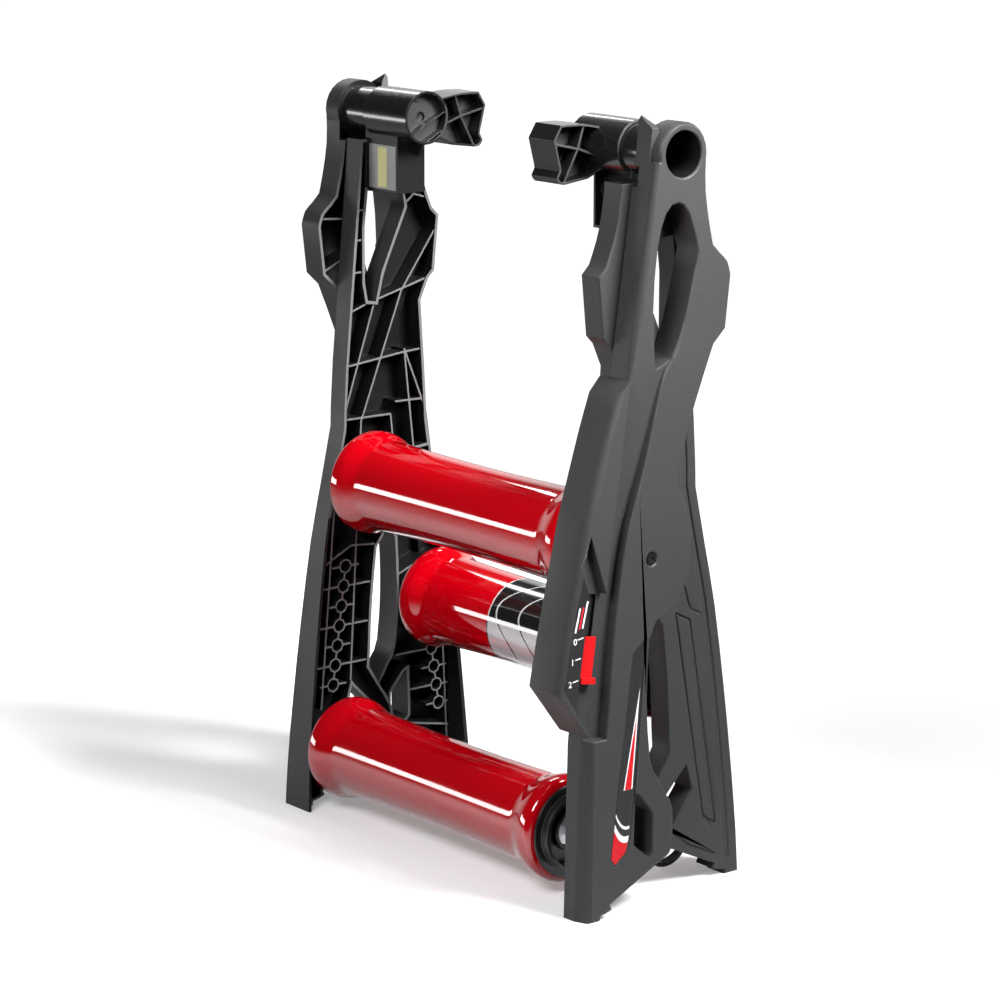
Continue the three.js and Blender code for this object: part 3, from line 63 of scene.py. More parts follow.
class Graph:
    """Short calls for building one node tree."""

    def __init__(self, tree: bpy.types.NodeTree) -> None:
        """Takes the tree that the nodes go into.

        Args:
            tree: The node tree of a material, a world or a group.
        """
        self.tree = tree

    def node(self, kind: str, inputs: dict | None = None, **settings) -> bpy.types.Node:
        """Adds one node.

        Args:
            kind: The node's type name.
            inputs: Values or sockets for the named or numbered inputs.
            settings: Properties of the node itself.

        Returns:
            The new node.
        """
        made = self.tree.nodes.new(kind)
        for name, value in settings.items():
            setattr(made, name, value)
        for name, value in (inputs or {}).items():
            self.feed(made.inputs[name], value)
        return made

    def feed(self, socket: bpy.types.NodeSocket, value) -> None:
        """Links a socket to the input, or sets the input's own value.

        Args:
            socket: The input.
            value: A socket, a number or a colour.
        """
        if isinstance(value, bpy.types.NodeSocket):
            self.tree.links.new(value, socket)
        elif isinstance(value, tuple) and socket.type == "RGBA":
            socket.default_value = (*value, 1.0)
        else:
            socket.default_value = value

    def math(self, operation: str, first, second=0.0, clamp: bool = False):
        """Returns the result socket of one Math node.

        Args:
            operation: The Math node's operation.
            first: A number or a socket.
            second: A number or a socket.
            clamp: Whether the result stays between 0 and 1.
        """
        return self.node("ShaderNodeMath", {0: first, 1: second}, operation=operation,
                         use_clamp=clamp).outputs[0]

    def blend(self, factor, low, high):
        """Returns a colour socket that goes from low to high with the factor.

        Args:
            factor: A number or a socket from 0 to 1.
            low: The colour or socket at 0.
            high: The colour or socket at 1.
        """
        return self.node("ShaderNodeMix", {0: factor, 6: low, 7: high},
                         data_type="RGBA").outputs[2]

    def span(self, value, low: float, high: float, start: float = 0.0, end: float = 1.0):
        """Returns a socket that maps low..high of the value to start..end, clamped.

        Args:
            value: The socket that is read.
            low: The value that gives start.
            high: The value that gives end.
            start: The result at low.
            end: The result at high.
        """
        return self.node("ShaderNodeMapRange", {0: value, 1: low, 2: high, 3: start,
                                                4: end}).outputs[0]

    def group(self, tree: bpy.types.NodeTree, inputs: dict | None = None) -> bpy.types.Node:
        """Places a shared node group.

        Args:
            tree: The group.
            inputs: Its input values or sockets.

        Returns:
            The group node.
        """
        return self.node("ShaderNodeGroup", inputs, node_tree=tree)


def empty_graph(owner: bpy.types.Material | bpy.types.World) -> Graph:
    """Returns the node tree of a material or a world, without its first nodes."""
    owner.use_nodes = True
    owner.node_tree.nodes.clear()
    return Graph(owner.node_tree)


class SharedEffects:
    """The node groups that more than one finish uses, each built once."""

    def __init__(self) -> None:
        """Builds every group."""
        self.grain = self._grain()
        self.marks = self._marks()
        self.band = self._band()

    @staticmethod
    def _start(name: str, inputs: dict[str, tuple[str, float]],
               outputs: dict[str, str]) -> tuple[bpy.types.NodeTree, Graph, dict, dict]:
        """Makes an empty group with its sockets.

        Args:
            name: The group's name.
            inputs: Each input's socket type and default value.
            outputs: Each output's socket type.

        Returns:
            The tree, its graph, its input sockets and its output sockets.
        """
        tree = bpy.data.node_groups.new(name, "ShaderNodeTree")
        for label, (kind, default) in inputs.items():
            socket = tree.interface.new_socket(label, in_out="INPUT", socket_type=kind)
            if kind == "NodeSocketFloat":
                socket.default_value = default
        for label, kind in outputs.items():
            tree.interface.new_socket(label, in_out="OUTPUT", socket_type=kind)
        graph = Graph(tree)
        source = graph.node("NodeGroupInput")
        sink = graph.node("NodeGroupOutput")
        return tree, graph, source.outputs, sink.inputs

    def _grain(self) -> bpy.types.NodeTree:
        """Returns the fine texture of a moulding tool: its height and its unevenness."""
        tree, graph, given, out = self._start(
            "mould grain",
            {"Vector": ("NodeSocketVector", 0.0), "Scale": ("NodeSocketFloat", 900.0)},
            {"Height": "NodeSocketFloat", "Tone": "NodeSocketFloat"})
        soft_share = 0.4
        soft_scale = 0.4
        fine = graph.node("ShaderNodeTexVoronoi", {"Vector": given["Vector"],
                                                   "Scale": given["Scale"]})
        soft = graph.node("ShaderNodeTexNoise", {
            "Vector": given["Vector"], "Scale": graph.math("MULTIPLY", given["Scale"], soft_scale),
            "Detail": 3.0})
        broad = graph.node("ShaderNodeTexNoise", {"Vector": given["Vector"], "Scale": 14.0,
                                                  "Detail": 4.0})
        height = graph.math(
            "ADD", graph.math("MULTIPLY", fine.outputs["Distance"], 1.0 - soft_share),
            graph.math("MULTIPLY", soft.outputs[0], soft_share))
        graph.feed(out["Height"], height)
        graph.feed(out["Tone"], broad.outputs[0])
        return tree

    def _marks(self) -> bpy.types.NodeTree:
        """Returns thin handling marks as a mask, from stretched noise."""
        tree, graph, given, out = self._start(
            "handling marks",
            {"Vector": ("NodeSocketVector", 0.0), "Scale": ("NodeSocketFloat", 60.0),
             "Amount": ("NodeSocketFloat", 0.3)},
            {"Mask": "NodeSocketFloat"})
        turned = graph.node("ShaderNodeMapping", {"Vector": given["Vector"],
                                                  "Rotation": (0.6, 0.2, 0.9),
                                                  "Scale": (1.0, 9.0, 1.6)})
        lines = graph.node("ShaderNodeTexNoise", {"Vector": turned.outputs[0],
                                                  "Scale": given["Scale"], "Detail": 6.0,
                                                  "Roughness": 0.7})
        patches = graph.node("ShaderNodeTexNoise", {"Vector": given["Vector"], "Scale": 9.0})
        thin = graph.span(lines.outputs[0], 0.62, 0.72)
        where = graph.span(patches.outputs[0], 0.5, 0.7)
        graph.feed(out["Mask"], graph.math("MULTIPLY", graph.math("MULTIPLY", thin, where),
                                           given["Amount"], clamp=True))
        return tree

    def _band(self) -> bpy.types.NodeTree:
        """Returns 1 between two values with a soft border, and 0 elsewhere."""
        tree, graph, given, out = self._start(
            "band",
            {"Value": ("NodeSocketFloat", 0.0), "Low": ("NodeSocketFloat", 0.0),
             "High": ("NodeSocketFloat", 1.0), "Softness": ("NodeSocketFloat", 0.0002)},
            {"Mask": "NodeSocketFloat"})
        above = graph.math("DIVIDE", graph.math("SUBTRACT", given["Value"], given["Low"]),
                           given["Softness"], clamp=True)
        below = graph.math("DIVIDE", graph.math("SUBTRACT", given["High"], given["Value"]),
                           given["Softness"], clamp=True)
        graph.feed(out["Mask"], graph.math("MULTIPLY", above, below))
        return tree

    def strip(self, graph: Graph, softness: float, value, low: float, high: float):
        """Returns the mask between two values.

        Args:
            graph: The material's graph.
            softness: The width of the mask's border.
            value: The socket that is read.
            low: The lower value.
            high: The higher value.
        """
        return graph.group(self.band, {"Value": value, "Low": low, "High": high,
                                       "Softness": softness}).outputs[0]


# ---------------------------------------------------------------- finishes


class Wear(Enum):
    """How much a surface has been handled, as the strength of its marks."""

    FAINT = 0.05
    LIGHT = 0.2


@dataclass(frozen=True)
class Finish:
    """One surface: its name, the record's slot and its plain shader values."""

    name: str
    slot: str
    colour: Colour
    roughness: float
    metallic: float = 0.0
    coat: float = 0.0
    grain_scale: float = 900.0
    grain_height: float = 0.02
    wear: Wear = Wear.LIGHT
    edge_round: float = 0.0
    gloss_level: float = 0.5
    coat_roughness: float = 0.04
    unevenness: float = 0.05
    mark_roughness: float = 0.25

    def shade(self, graph: Graph, shared: SharedEffects, place) -> dict:
        """Returns the changing inputs of the shader. Finishes with a pattern replace this.

        Args:
            graph: The material's graph.
            shared: The shared node groups.
            place: The socket with the object coordinates.
        """
        return {"Base Color": self.colour}

    def build(self, shared: SharedEffects) -> bpy.types.Material:
        """Builds the material.

        Args:
            shared: The shared node groups.

        Returns:
            The finished material.
        """
        material = bpy.data.materials.new(self.name)
        graph = empty_graph(material)
        place = graph.node("ShaderNodeTexCoord").outputs["Object"]
        grain = graph.group(shared.grain, {"Vector": place, "Scale": self.grain_scale})
        marks = graph.group(shared.marks, {"Vector": place, "Amount": self.wear.value})
        inputs = {"Metallic": self.metallic, "Coat Weight": self.coat}
        inputs.update(self.shade(graph, shared, place))
        rough = inputs.pop("Roughness", self.roughness)
        uneven = graph.span(grain.outputs["Tone"], 0.3, 0.7, -self.unevenness, self.unevenness)
        worn = graph.math("MULTIPLY", marks.outputs["Mask"], self.mark_roughness)
        inputs["Roughness"] = graph.math("ADD", rough, graph.math("ADD", uneven, worn),
                                         clamp=True)
        shader = graph.node("ShaderNodeBsdfPrincipled", inputs)
        shader.inputs["Coat Roughness"].default_value = self.coat_roughness
        shader.inputs["Specular IOR Level"].default_value = self.gloss_level
        bump = graph.node("ShaderNodeBump", {"Strength": 1.0,
                                             "Distance": self.grain_height * MM,
                                             "Height": grain.outputs["Height"]})
        if self.edge_round > 0:
            rounded = graph.node("ShaderNodeBevel", {"Radius": self.edge_round}, samples=6)
            graph.feed(bump.inputs["Normal"], rounded.outputs[0])
        graph.feed(shader.inputs["Normal"], bump.outputs[0])
        graph.node("ShaderNodeOutputMaterial", {"Surface": shader.outputs[0]})
        return material


@dataclass(frozen=True)
class BeamPlastic(Finish):
    """Textured charcoal plastic, darker in the ribbed hollow by painted shade, lighter on the rib
    tops by a painted highlight, and glossy at the fold joint.
    """

    # Painted shade: near-black for the faces inside the ribbed hollow.
    hollow: Colour = grey(0.004)
    # Painted highlight: light grey for the rib tops.
    rim: Colour = grey(0.11)
    gloss: Colour = grey(0.008)
    gloss_roughness: float = 0.25
    gloss_coat: float = 0.5
    speckle: float = 0.14

    def shade(self, graph: Graph, shared: SharedEffects, place) -> dict:
        """Returns colour, roughness and coat from the zones painted on the beam, with painted
        shade in the hollow and a painted highlight on the rib tops.

        Args:
            graph: The material's graph.
            shared: The shared node groups.
            place: The socket with the object coordinates.
        """
        zones = graph.node("ShaderNodeAttribute", attribute_name="zones")
        parts = graph.node("ShaderNodeSeparateColor", {0: zones.outputs["Color"]})
        grain = graph.group(shared.grain, {"Vector": place, "Scale": self.grain_scale})
        speck = graph.span(grain.outputs["Height"], 0.2, 0.6, 1 - self.speckle,
                           1 + self.speckle)
        tint = graph.node("ShaderNodeCombineColor", {0: speck, 1: speck, 2: speck})
        skin = graph.node("ShaderNodeMix", {0: 1.0, 6: self.colour, 7: tint.outputs[0]},
                          data_type="RGBA", blend_type="MULTIPLY")
        # Painted shade: the hollow zone turns the skin near-black.
        colour = graph.blend(parts.outputs[0], skin.outputs[2], self.hollow)
        # Painted highlight: the rib-top zone turns the skin light grey.
        colour = graph.blend(parts.outputs[1], colour, self.rim)
        colour = graph.blend(parts.outputs[2], colour, self.gloss)
        rough = graph.span(parts.outputs[2], 0.0, 1.0, self.roughness, self.gloss_roughness)
        coat = graph.math("MULTIPLY", parts.outputs[2], self.gloss_coat)
        return {"Base Color": colour, "Roughness": rough, "Coat Weight": coat}


@dataclass(frozen=True)
class BandedCoating(Finish):
    """Glossy drum coating with a plain printed band round the middle of the drum."""

    axis: Place = (0.0, 0.0)
    start: float = 0.0
    end: float = 0.0
    border: float = 2 * MM
    tilt: float = 0.17
    swing: float = 0.16
    swings: float = 3.0
    lines: tuple[Place, ...] = ((0.28, 0.31), (0.70, 0.73))
    pale: Colour = grey(0.5)
    dark: Colour = grey(0.008)

    def shade(self, graph: Graph, shared: SharedEffects, place) -> dict:
        """Returns the colour with a band, dark above and pale below, crossed by thin lines.

        Args:
            graph: The material's graph.
            shared: The shared node groups.
            place: The socket with the object coordinates.
        """
        along, y, z = graph.node("ShaderNodeSeparateXYZ", {0: place}).outputs
        angle = graph.math("ARCTAN2", graph.math("SUBTRACT", z, self.axis[1]),
                           graph.math("SUBTRACT", self.axis[0], y))
        strip = partial(shared.strip, graph, 0.2 * MM)
        width = self.end - self.start
        upper = shared.strip(graph, 0.02, angle, self.tilt, math.pi)
        wave = graph.math("SINE", graph.math("MULTIPLY", angle, self.swings))
        curl = graph.math("ADD", along, graph.math("MULTIPLY", wave, width * self.swing))
        lines = graph.math("MAXIMUM", *(
            strip(curl, self.start + width * low, self.start + width * high)
            for low, high in self.lines))
        ring = graph.math("MAXIMUM", strip(along, self.start, self.start + self.border),
                          strip(along, self.end - self.border, self.end))
        ground = graph.blend(upper, self.pale, self.dark)
        ink = graph.blend(upper, self.dark, self.pale)
        printed = graph.blend(graph.math("MAXIMUM", lines, ring), ground, ink)
        return {"Base Color": graph.blend(strip(along, self.start, self.end), self.colour,
                                          printed)}


@dataclass(frozen=True)
class StripePrint(Finish):
    """Flat print on a dark panel: a tapering red stripe over a red wedge with pale sweeps."""

    foot: Place = (0.0, 0.0)
    slope: float = 0.14
    red: Colour = (0.45, 0.004, 0.008)
    pale: Colour = grey(0.7)
    sweep_lean: float = 1.6
    sweep_bend: float = 60.0
    wedge_top: float = 30 * MM
    sweeps: tuple[Place, ...] = ((30 * MM, 36 * MM), (42 * MM, 45 * MM))
    stripe: Place = (68 * MM, 182 * MM)
    stripe_middle: float = 9 * MM
    stripe_half: float = 5.5 * MM
    stripe_from: float = 60 * MM
    stripe_taper: float = 0.055
    stripe_border: float = 1.2 * MM

    def shade(self, graph: Graph, shared: SharedEffects, place) -> dict:
        """Returns a tapering stripe up the panel and a wedge with two sweeps at its foot.

        Args:
            graph: The material's graph.
            shared: The shared node groups.
            place: The socket with the object coordinates.
        """
        _, y, z = graph.node("ShaderNodeSeparateXYZ", {0: place}).outputs
        rise = graph.math("SUBTRACT", z, self.foot[1])
        across = graph.math("SUBTRACT", graph.math("SUBTRACT", y, self.foot[0]),
                            graph.math("MULTIPLY", rise, self.slope))
        strip = partial(shared.strip, graph, 0.3 * MM)
        curve = graph.math("MULTIPLY", graph.math("MULTIPLY", across, across), self.sweep_bend)
        bend = graph.math("ADD", graph.math("MULTIPLY", across, self.sweep_lean),
                          graph.math("SUBTRACT", rise, curve))
        taper = graph.math("MULTIPLY", graph.math("SUBTRACT", rise, self.stripe_from),
                           self.stripe_taper)
        half = graph.math("SUBTRACT", self.stripe_half, taper)
        off = graph.math("ABSOLUTE", graph.math("SUBTRACT", across, self.stripe_middle))
        tall = strip(rise, *self.stripe)
        edge = graph.math("MULTIPLY", graph.math("LESS_THAN", off, half), tall)
        inner = graph.math("SUBTRACT", half, self.stripe_border)
        core = graph.math("MULTIPLY", graph.math("LESS_THAN", off, inner), tall)
        colour = graph.blend(strip(bend, -1.0, self.wedge_top), self.colour, self.red)
        for low, high in self.sweeps:
            colour = graph.blend(strip(bend, low, high), colour, self.pale)
        colour = graph.blend(edge, colour, self.pale)
        colour = graph.blend(core, colour, self.red)
        return {"Base Color": colour}


class Palette:
    """Every finish of the rollers, built once."""

    def __init__(self, front_axis: Place) -> None:
        """Builds the materials.

        Args:
            front_axis: The front drum's axis, [y, z] in metres, for its printed band.
        """
        shared = SharedEffects()
        coating = {"colour": (0.43, 0.0, 0.004), "roughness": 0.08, "coat": 0.6,
                   "grain_scale": 60.0, "grain_height": 0.01, "wear": Wear.FAINT}
        finishes = {
            # The frame's moulding carries painted shade in its ribbed hollow and a painted
            # highlight on its rib tops.
            "frame": BeamPlastic("charcoal moulding", "frame_plastic", grey(0.028), 0.46,
                                 grain_scale=700.0, grain_height=0.05, edge_round=1.2 * MM,
                                 gloss_level=0.22, coat_roughness=0.12),
            "black": Finish("black moulding", "cap_black", grey(0.010), 0.35),
            "red": Finish("red drum coating", "drum_red", **coating),
            "banded": BandedCoating("printed drum coating", "drum_red", axis=front_axis,
                                    start=-40 * MM, end=40 * MM, **coating),
            "slider": Finish("red slider plastic", "slider_red", (0.42, 0.004, 0.006), 0.4,
                             gloss_level=0.25),
            "steel": Finish("turned steel", "bare_steel", grey(0.55), 0.28, metallic=1.0,
                            grain_scale=400.0),
            "screw": Finish("blackened screw steel", "screw_black", grey(0.03), 0.35,
                            metallic=0.8),
            "alloy": Finish("turned alloy", "disc_alloy", grey(0.7), 0.3, metallic=1.0,
                            grain_scale=300.0),
            "magnet": Finish("magnet plating", "magnet_nickel", grey(0.6), 0.2, metallic=1.0),
            "belt": Finish("belt rubber", "belt_black", grey(0.012), 0.6, grain_scale=1200.0),
            "print": StripePrint("panel print", "cap_black", grey(0.012), 0.45,
                                 gloss_level=0.3, foot=side(-75, 48)),
            "label": Finish("label film", "cap_black", grey(0.010), 0.35),
            "white": Finish("white print", "cap_black", grey(0.75), 0.45),
            "redink": Finish("red print", "slider_red", (0.5, 0.01, 0.015), 0.45),
            "foil": Finish("plate foil", "disc_alloy", grey(0.16), 0.45, metallic=0.3),
            "cream": Finish("pale yellow print", "cap_black", (0.5, 0.48, 0.2), 0.5),
        }
        self.finishes = finishes
        self.materials = {name: finish.build(shared) for name, finish in finishes.items()}

    def paint(self, piece: bpy.types.Object, name: str) -> None:
        """Gives the whole piece one finish.

        Args:
            piece: The object.
            name: The finish's key.
        """
        piece.data.materials.clear()
        piece.data.materials.append(self.materials[name])

    def slot(self, name: str) -> str:
        """Returns the record's slot that the finish belongs to."""
        return self.finishes[name].slot


# ---------------------------------------------------------------- modelling by operators


def calm() -> None:
    """Leaves edit mode and deselects everything."""
    if bpy.context.object and bpy.context.object.mode != "OBJECT":
        bpy.ops.object.mode_set(mode="OBJECT")
    bpy.ops.object.select_all(action="DESELECT")


def take(piece: bpy.types.Object) -> None:
    """Makes one object the only one selected, and active."""
    calm()
    piece.select_set(True)
    bpy.context.view_layer.objects.active = piece


def settle(name: str) -> bpy.types.Object:
    """Names the active object and applies its place, turn and scale to its mesh.

    Args:
        name: The piece's name.

    Returns:
        The object.
    """
    piece = bpy.context.object
    if piece.mode != "OBJECT":
        bpy.ops.object.mode_set(mode="OBJECT")
    piece.name = name
    piece.data.name = name
    bpy.ops.object.transform_apply(location=True, rotation=True, scale=True)
    return piece


def start_point(place: Spot) -> None:
    """Adds a mesh of one selected vertex at a place and stays in edit mode.

    Args:
        place: The point, in metres.
    """
    calm()
    bpy.ops.mesh.primitive_plane_add(size=MM, location=place)
    bpy.ops.object.mode_set(mode="EDIT")
    bpy.ops.mesh.select_all(action="SELECT")
    bpy.ops.mesh.merge(type="CENTER")


def draw_on(steps: list[Spot]) -> None:
    """Extrudes the selected vertex along a row of moves."""
    for step in steps:
        bpy.ops.mesh.extrude_vertices_move(TRANSFORM_OT_translate={"value": step})


def smooth(piece: bpy.types.Object, angle: float = 32.0) -> None:
    """Smooths the faces that meet at less than the angle, in degrees."""
    take(piece)
    bpy.ops.object.shade_smooth_by_angle(angle=math.radians(angle))


def crisp(piece: bpy.types.Object, angle: float = 35.0, favour: int = 80) -> None:
    """Shades large faces flat and blends the roundings between them.

    Args:
        piece: The object.
        angle: The greatest angle that is smoothed, in degrees.
        favour: How far large faces win over small ones, from 1 to 100.
    """
    smooth(piece, angle)
    modifier = piece.modifiers.new("shading", "WEIGHTED_NORMAL")
    modifier.keep_sharp = True
    modifier.weight = favour
    bpy.ops.object.modifier_apply(modifier=modifier.name)


def turned_piece(name: str, axis: Place, profile: list[Place],
                 steps: int = 96) -> bpy.types.Object:
    """Spins a profile about an axis along X.

    Args:
        name: The piece's name.
        axis: The axis, [y, z] in metres.
        profile: The outline, [radius, x] in metres. It closes on itself or ends on the axis.
        steps: The number of faces round the axis.

    Returns:
        The piece, closed, with its faces outwards.
    """
    radius, x = profile[0]
    start_point((x, axis[0], axis[1] + radius))
    draw_on([(b[1] - a[1], 0.0, b[0] - a[0]) for a, b in zip(profile, profile[1:])])
    bpy.ops.mesh.select_all(action="SELECT")
    bpy.ops.mesh.spin(steps=steps, angle=2 * math.pi, center=(0.0, *axis), axis=(1.0, 0.0, 0.0))
    bpy.ops.mesh.select_all(action="SELECT")
    bpy.ops.mesh.remove_doubles(threshold=MERGE)
    bpy.ops.mesh.normals_make_consistent(inside=False)
    piece = settle(name)
    smooth(piece)
    return piece


def plate(name: str, corners: list[Spot], depth: Spot) -> bpy.types.Object:
    """Draws a flat outline anywhere and gives it thickness.

    Args:
        name: The piece's name.
        corners: The outline's corners, in metres.
        depth: The way from its first face to its second.

    Returns:
        The piece, closed, with its faces outwards.
    """
    start_point(corners[0])
    draw_on([tuple(b - a for a, b in zip(*pair)) for pair in zip(corners, corners[1:])])
    bpy.ops.mesh.select_all(action="SELECT")
    bpy.ops.mesh.edge_face_add()
    bpy.ops.mesh.extrude_region_move(TRANSFORM_OT_translate={"value": depth})
    bpy.ops.mesh.select_all(action="SELECT")
    bpy.ops.mesh.normals_make_consistent(inside=False)
    return settle(name)


def flat_piece(name: str, outline: list[Place], low: float, high: float) -> bpy.types.Object:
    """Draws a side-view outline and gives it thickness along X.

    Args:
        name: The piece's name.
        outline: The corners, [y, z] in metres.
        low: The x of its first face.
        high: The x of its second face.

    Returns:
        The piece, closed, with its faces outwards.
    """
    return plate(name, [(low, *corner) for corner in outline], (high - low, 0.0, 0.0))


def bevel(piece: bpy.types.Object, width: float, segments: int = 2, angle: float = 40.0,
          by_weight: bool = False) -> None:
    """Rounds the piece's sharp edges with a Bevel modifier, and applies it.

    Args:
        piece: The object.
        width: The bevel's width, in metres.
        segments: Its faces.
        angle: The least angle of an edge that it takes, in degrees.
        by_weight: Whether it takes the marked edges in place of all sharp ones.
    """
    take(piece)
    modifier = piece.modifiers.new("edges", "BEVEL")
    modifier.width = width
    modifier.segments = segments
    modifier.limit_method = "WEIGHT" if by_weight else "ANGLE"
    modifier.angle_limit = math.radians(angle)
    modifier.use_clamp_overlap = not by_weight
    bpy.ops.object.modifier_apply(modifier=modifier.name)


def hand_over(piece: bpy.types.Object, palette: Palette, finish: str, body: str,
              node: str = "") -> None:
    """Dresses a finished piece, hangs it on its body, hides the solid that it replaces if any, and
    logs it.

    Args:
        piece: The object.
        palette: The finishes.
        finish: The finish's key.
        body: The body that it moves with.
        node: The solid that it replaces, where it replaces one.
    """
    palette.paint(piece, finish)
    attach(piece, body)
    palette.slot(finish)
    if node:
        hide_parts(node)
    LOG.info("%s: %d faces", piece.name, len(piece.data.polygons))


# ---------------------------------------------------------------- the rollers' pieces


SHIFT_Y = 15.154 * MM


def side(y: float, z: float) -> Place:
    """Returns a side-view point of the source, in millimetres, as a place in the frame."""
    return (y * MM + SHIFT_Y, z * MM)


@dataclass
class SideBeam:
    """One moulded beam, with its ribbed hollow open on one side."""

    node: str
    body: str
    skin: float
    open_face: float
    rib_top: float
    flat_angle: float = 0.5
    edge: float = 0.5 * MM
    skin_round: float = 2.0 * MM
    skin_reach: float = 0.05 * MM
    skin_angle: float = 60.0
    skin_steps: int = 3
    shortest: float = 2.5 * MM
    tight_corner: float = 50.0
    joint_height: float = 650 * MM
    gloss_reach: float = 216 * MM
    level: float = 0.7 * MM
    reach: float = 60 * MM
    flat_limit: float = 0.7
    top_limit: float = 0.6
    sink: float = 0.0

    def build(self, palette: Palette) -> bpy.types.Object:
        """Copies the beam's solid, rounds its edges and paints its zones, which carry painted
        shade in the hollow and a painted highlight on the rib tops.

        Args:
            palette: The finishes.

        Returns:
            The piece that stands for the beam.
        """
        take(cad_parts[self.node])
        bpy.ops.object.duplicate()
        piece = bpy.context.object
        piece.name = piece.data.name = self.node + "_moulding"
        bpy.ops.object.mode_set(mode="EDIT")
        bpy.ops.mesh.select_all(action="SELECT")
        bpy.ops.mesh.remove_doubles(threshold=MERGE)
        # Leaving edit mode stores the merged mesh before its flat faces are joined.
        bpy.ops.object.mode_set(mode="OBJECT")
        bpy.ops.object.mode_set(mode="EDIT")
        bpy.ops.mesh.select_all(action="SELECT")
        bpy.ops.mesh.dissolve_limited(angle_limit=math.radians(self.flat_angle))
        self._sink_skin(piece)
        bpy.ops.object.mode_set(mode="OBJECT")
        self._mark_skin_edges(piece)
        bevel(piece, self.skin_round, self.skin_steps, by_weight=True)
        bevel(piece, self.edge)
        self._zones(piece)
        crisp(piece)
        hand_over(piece, palette, "frame", self.body, self.node)
        return piece

    def _sink_skin(self, piece: bpy.types.Object) -> None:
        """Moves the skin's plane inwards, in edit mode, to leave room for a film on it.

        Args:
            piece: The beam's mesh.
        """
        if not self.sink:
            return
        bpy.ops.mesh.select_all(action="DESELECT")
        bpy.ops.object.mode_set(mode="OBJECT")
        for vertex in piece.data.vertices:
            vertex.select = abs(vertex.co.x - self.skin) < self.skin_reach
        bpy.ops.object.mode_set(mode="EDIT")
        bpy.ops.transform.translate(value=(-math.copysign(self.sink, self.skin), 0.0, 0.0))
        self.skin -= math.copysign(self.sink, self.skin)

    def _mark_skin_edges(self, piece: bpy.types.Object) -> None:
        """Gives the sharp edges of the outer skin the weight that the wide bevel takes.

        Args:
            piece: The beam's mesh.
        """
        mesh = piece.data
        normals: dict[tuple[int, int], list[Vector]] = {}
        for face in mesh.polygons:
            for key in face.edge_keys:
                normals.setdefault(key, []).append(face.normal)
        weights = mesh.attributes.new("bevel_weight_edge", "FLOAT", "EDGE")
        for index, edge in enumerate(mesh.edges):
            ends = [mesh.vertices[v].co for v in edge.vertices]
            pair = normals.get(edge.key, [])
            on_skin = all(abs(end.x - self.skin) < self.skin_reach for end in ends)
            sharp = len(pair) == 2 and pair[0].angle(pair[1]) > math.radians(self.skin_angle)
            long = (ends[0] - ends[1]).length > self.shortest
            weights.data[index].value = float(on_skin and sharp and long)
        self._spare_tight_corners(mesh, weights)

    def _spare_tight_corners(self, mesh: bpy.types.Mesh, weights: bpy.types.Attribute) -> None:
        """Takes the marks off the edges that meet in a narrow corner, where a bevel would spike.

        Args:
            mesh: The beam's mesh.
            weights: The marks of its edges.
        """
        at_corner: dict[int, list[int]] = {}
        for index, edge in enumerate(mesh.edges):
            if weights.data[index].value > 0:
                for corner in edge.vertices:
                    at_corner.setdefault(corner, []).append(index)
        for corner, pair in at_corner.items():
            ways = [(mesh.vertices[v].co - mesh.vertices[corner].co).normalized()
                    for index in pair for v in mesh.edges[index].vertices if v != corner]
            tight = any(a.angle(b) < math.radians(self.tight_corner)
                        for i, a in enumerate(ways) for b in ways[:i])
            if tight:
                for index in pair:
                    weights.data[index].value = 0.0

    def _zones(self, piece: bpy.types.Object) -> None:
        """Paints each face as skin, hollow, rib top or fold joint; the hollow zone is painted
        shade and the rib-top zone a painted highlight.

        Args:
            piece: The beam's mesh.
        """
        mesh = piece.data
        mesh.calc_loop_triangles()
        tree = BVHTree.FromPolygons([v.co for v in mesh.vertices],
                                    [t.vertices for t in mesh.loop_triangles])
        spots: dict[int, tuple[float, Vector]] = {}
        for part in mesh.loop_triangles:
            if part.area >= spots.get(part.polygon_index, (0.0, None))[0]:
                middle = sum((mesh.vertices[v].co for v in part.vertices), Vector()) / 3
                spots[part.polygon_index] = (part.area, middle)
        outward = Vector((math.copysign(1.0, self.skin), 0.0, 0.0))
        paint = mesh.color_attributes.new(name="zones", type="FLOAT_COLOR", domain="CORNER")
        for face in mesh.polygons:
            spot = spots[face.index][1]
            depth = abs(spot.x)
            joint = spot.z > self.joint_height and depth < self.gloss_reach
            facing = -face.normal.dot(outward)
            off_top = min(abs(depth - abs(self.open_face)), abs(depth - abs(self.rib_top)))
            # Rib tops that face outward get the painted highlight.
            top = facing > self.top_limit and off_top < self.level
            # A face whose way out along X runs into the beam lies in the hollow and gets painted
            # shade.
            start = spot + face.normal * self.level
            hit = tree.ray_cast(start, outward, self.reach)[0]
            round_face = abs(face.normal.x) < self.flat_limit
            zone = (float(hit is not None and not joint), float(top and not joint),
                    float(joint and round_face), 1.0)
            for corner in face.loop_indices:
                paint.data[corner].color = zone


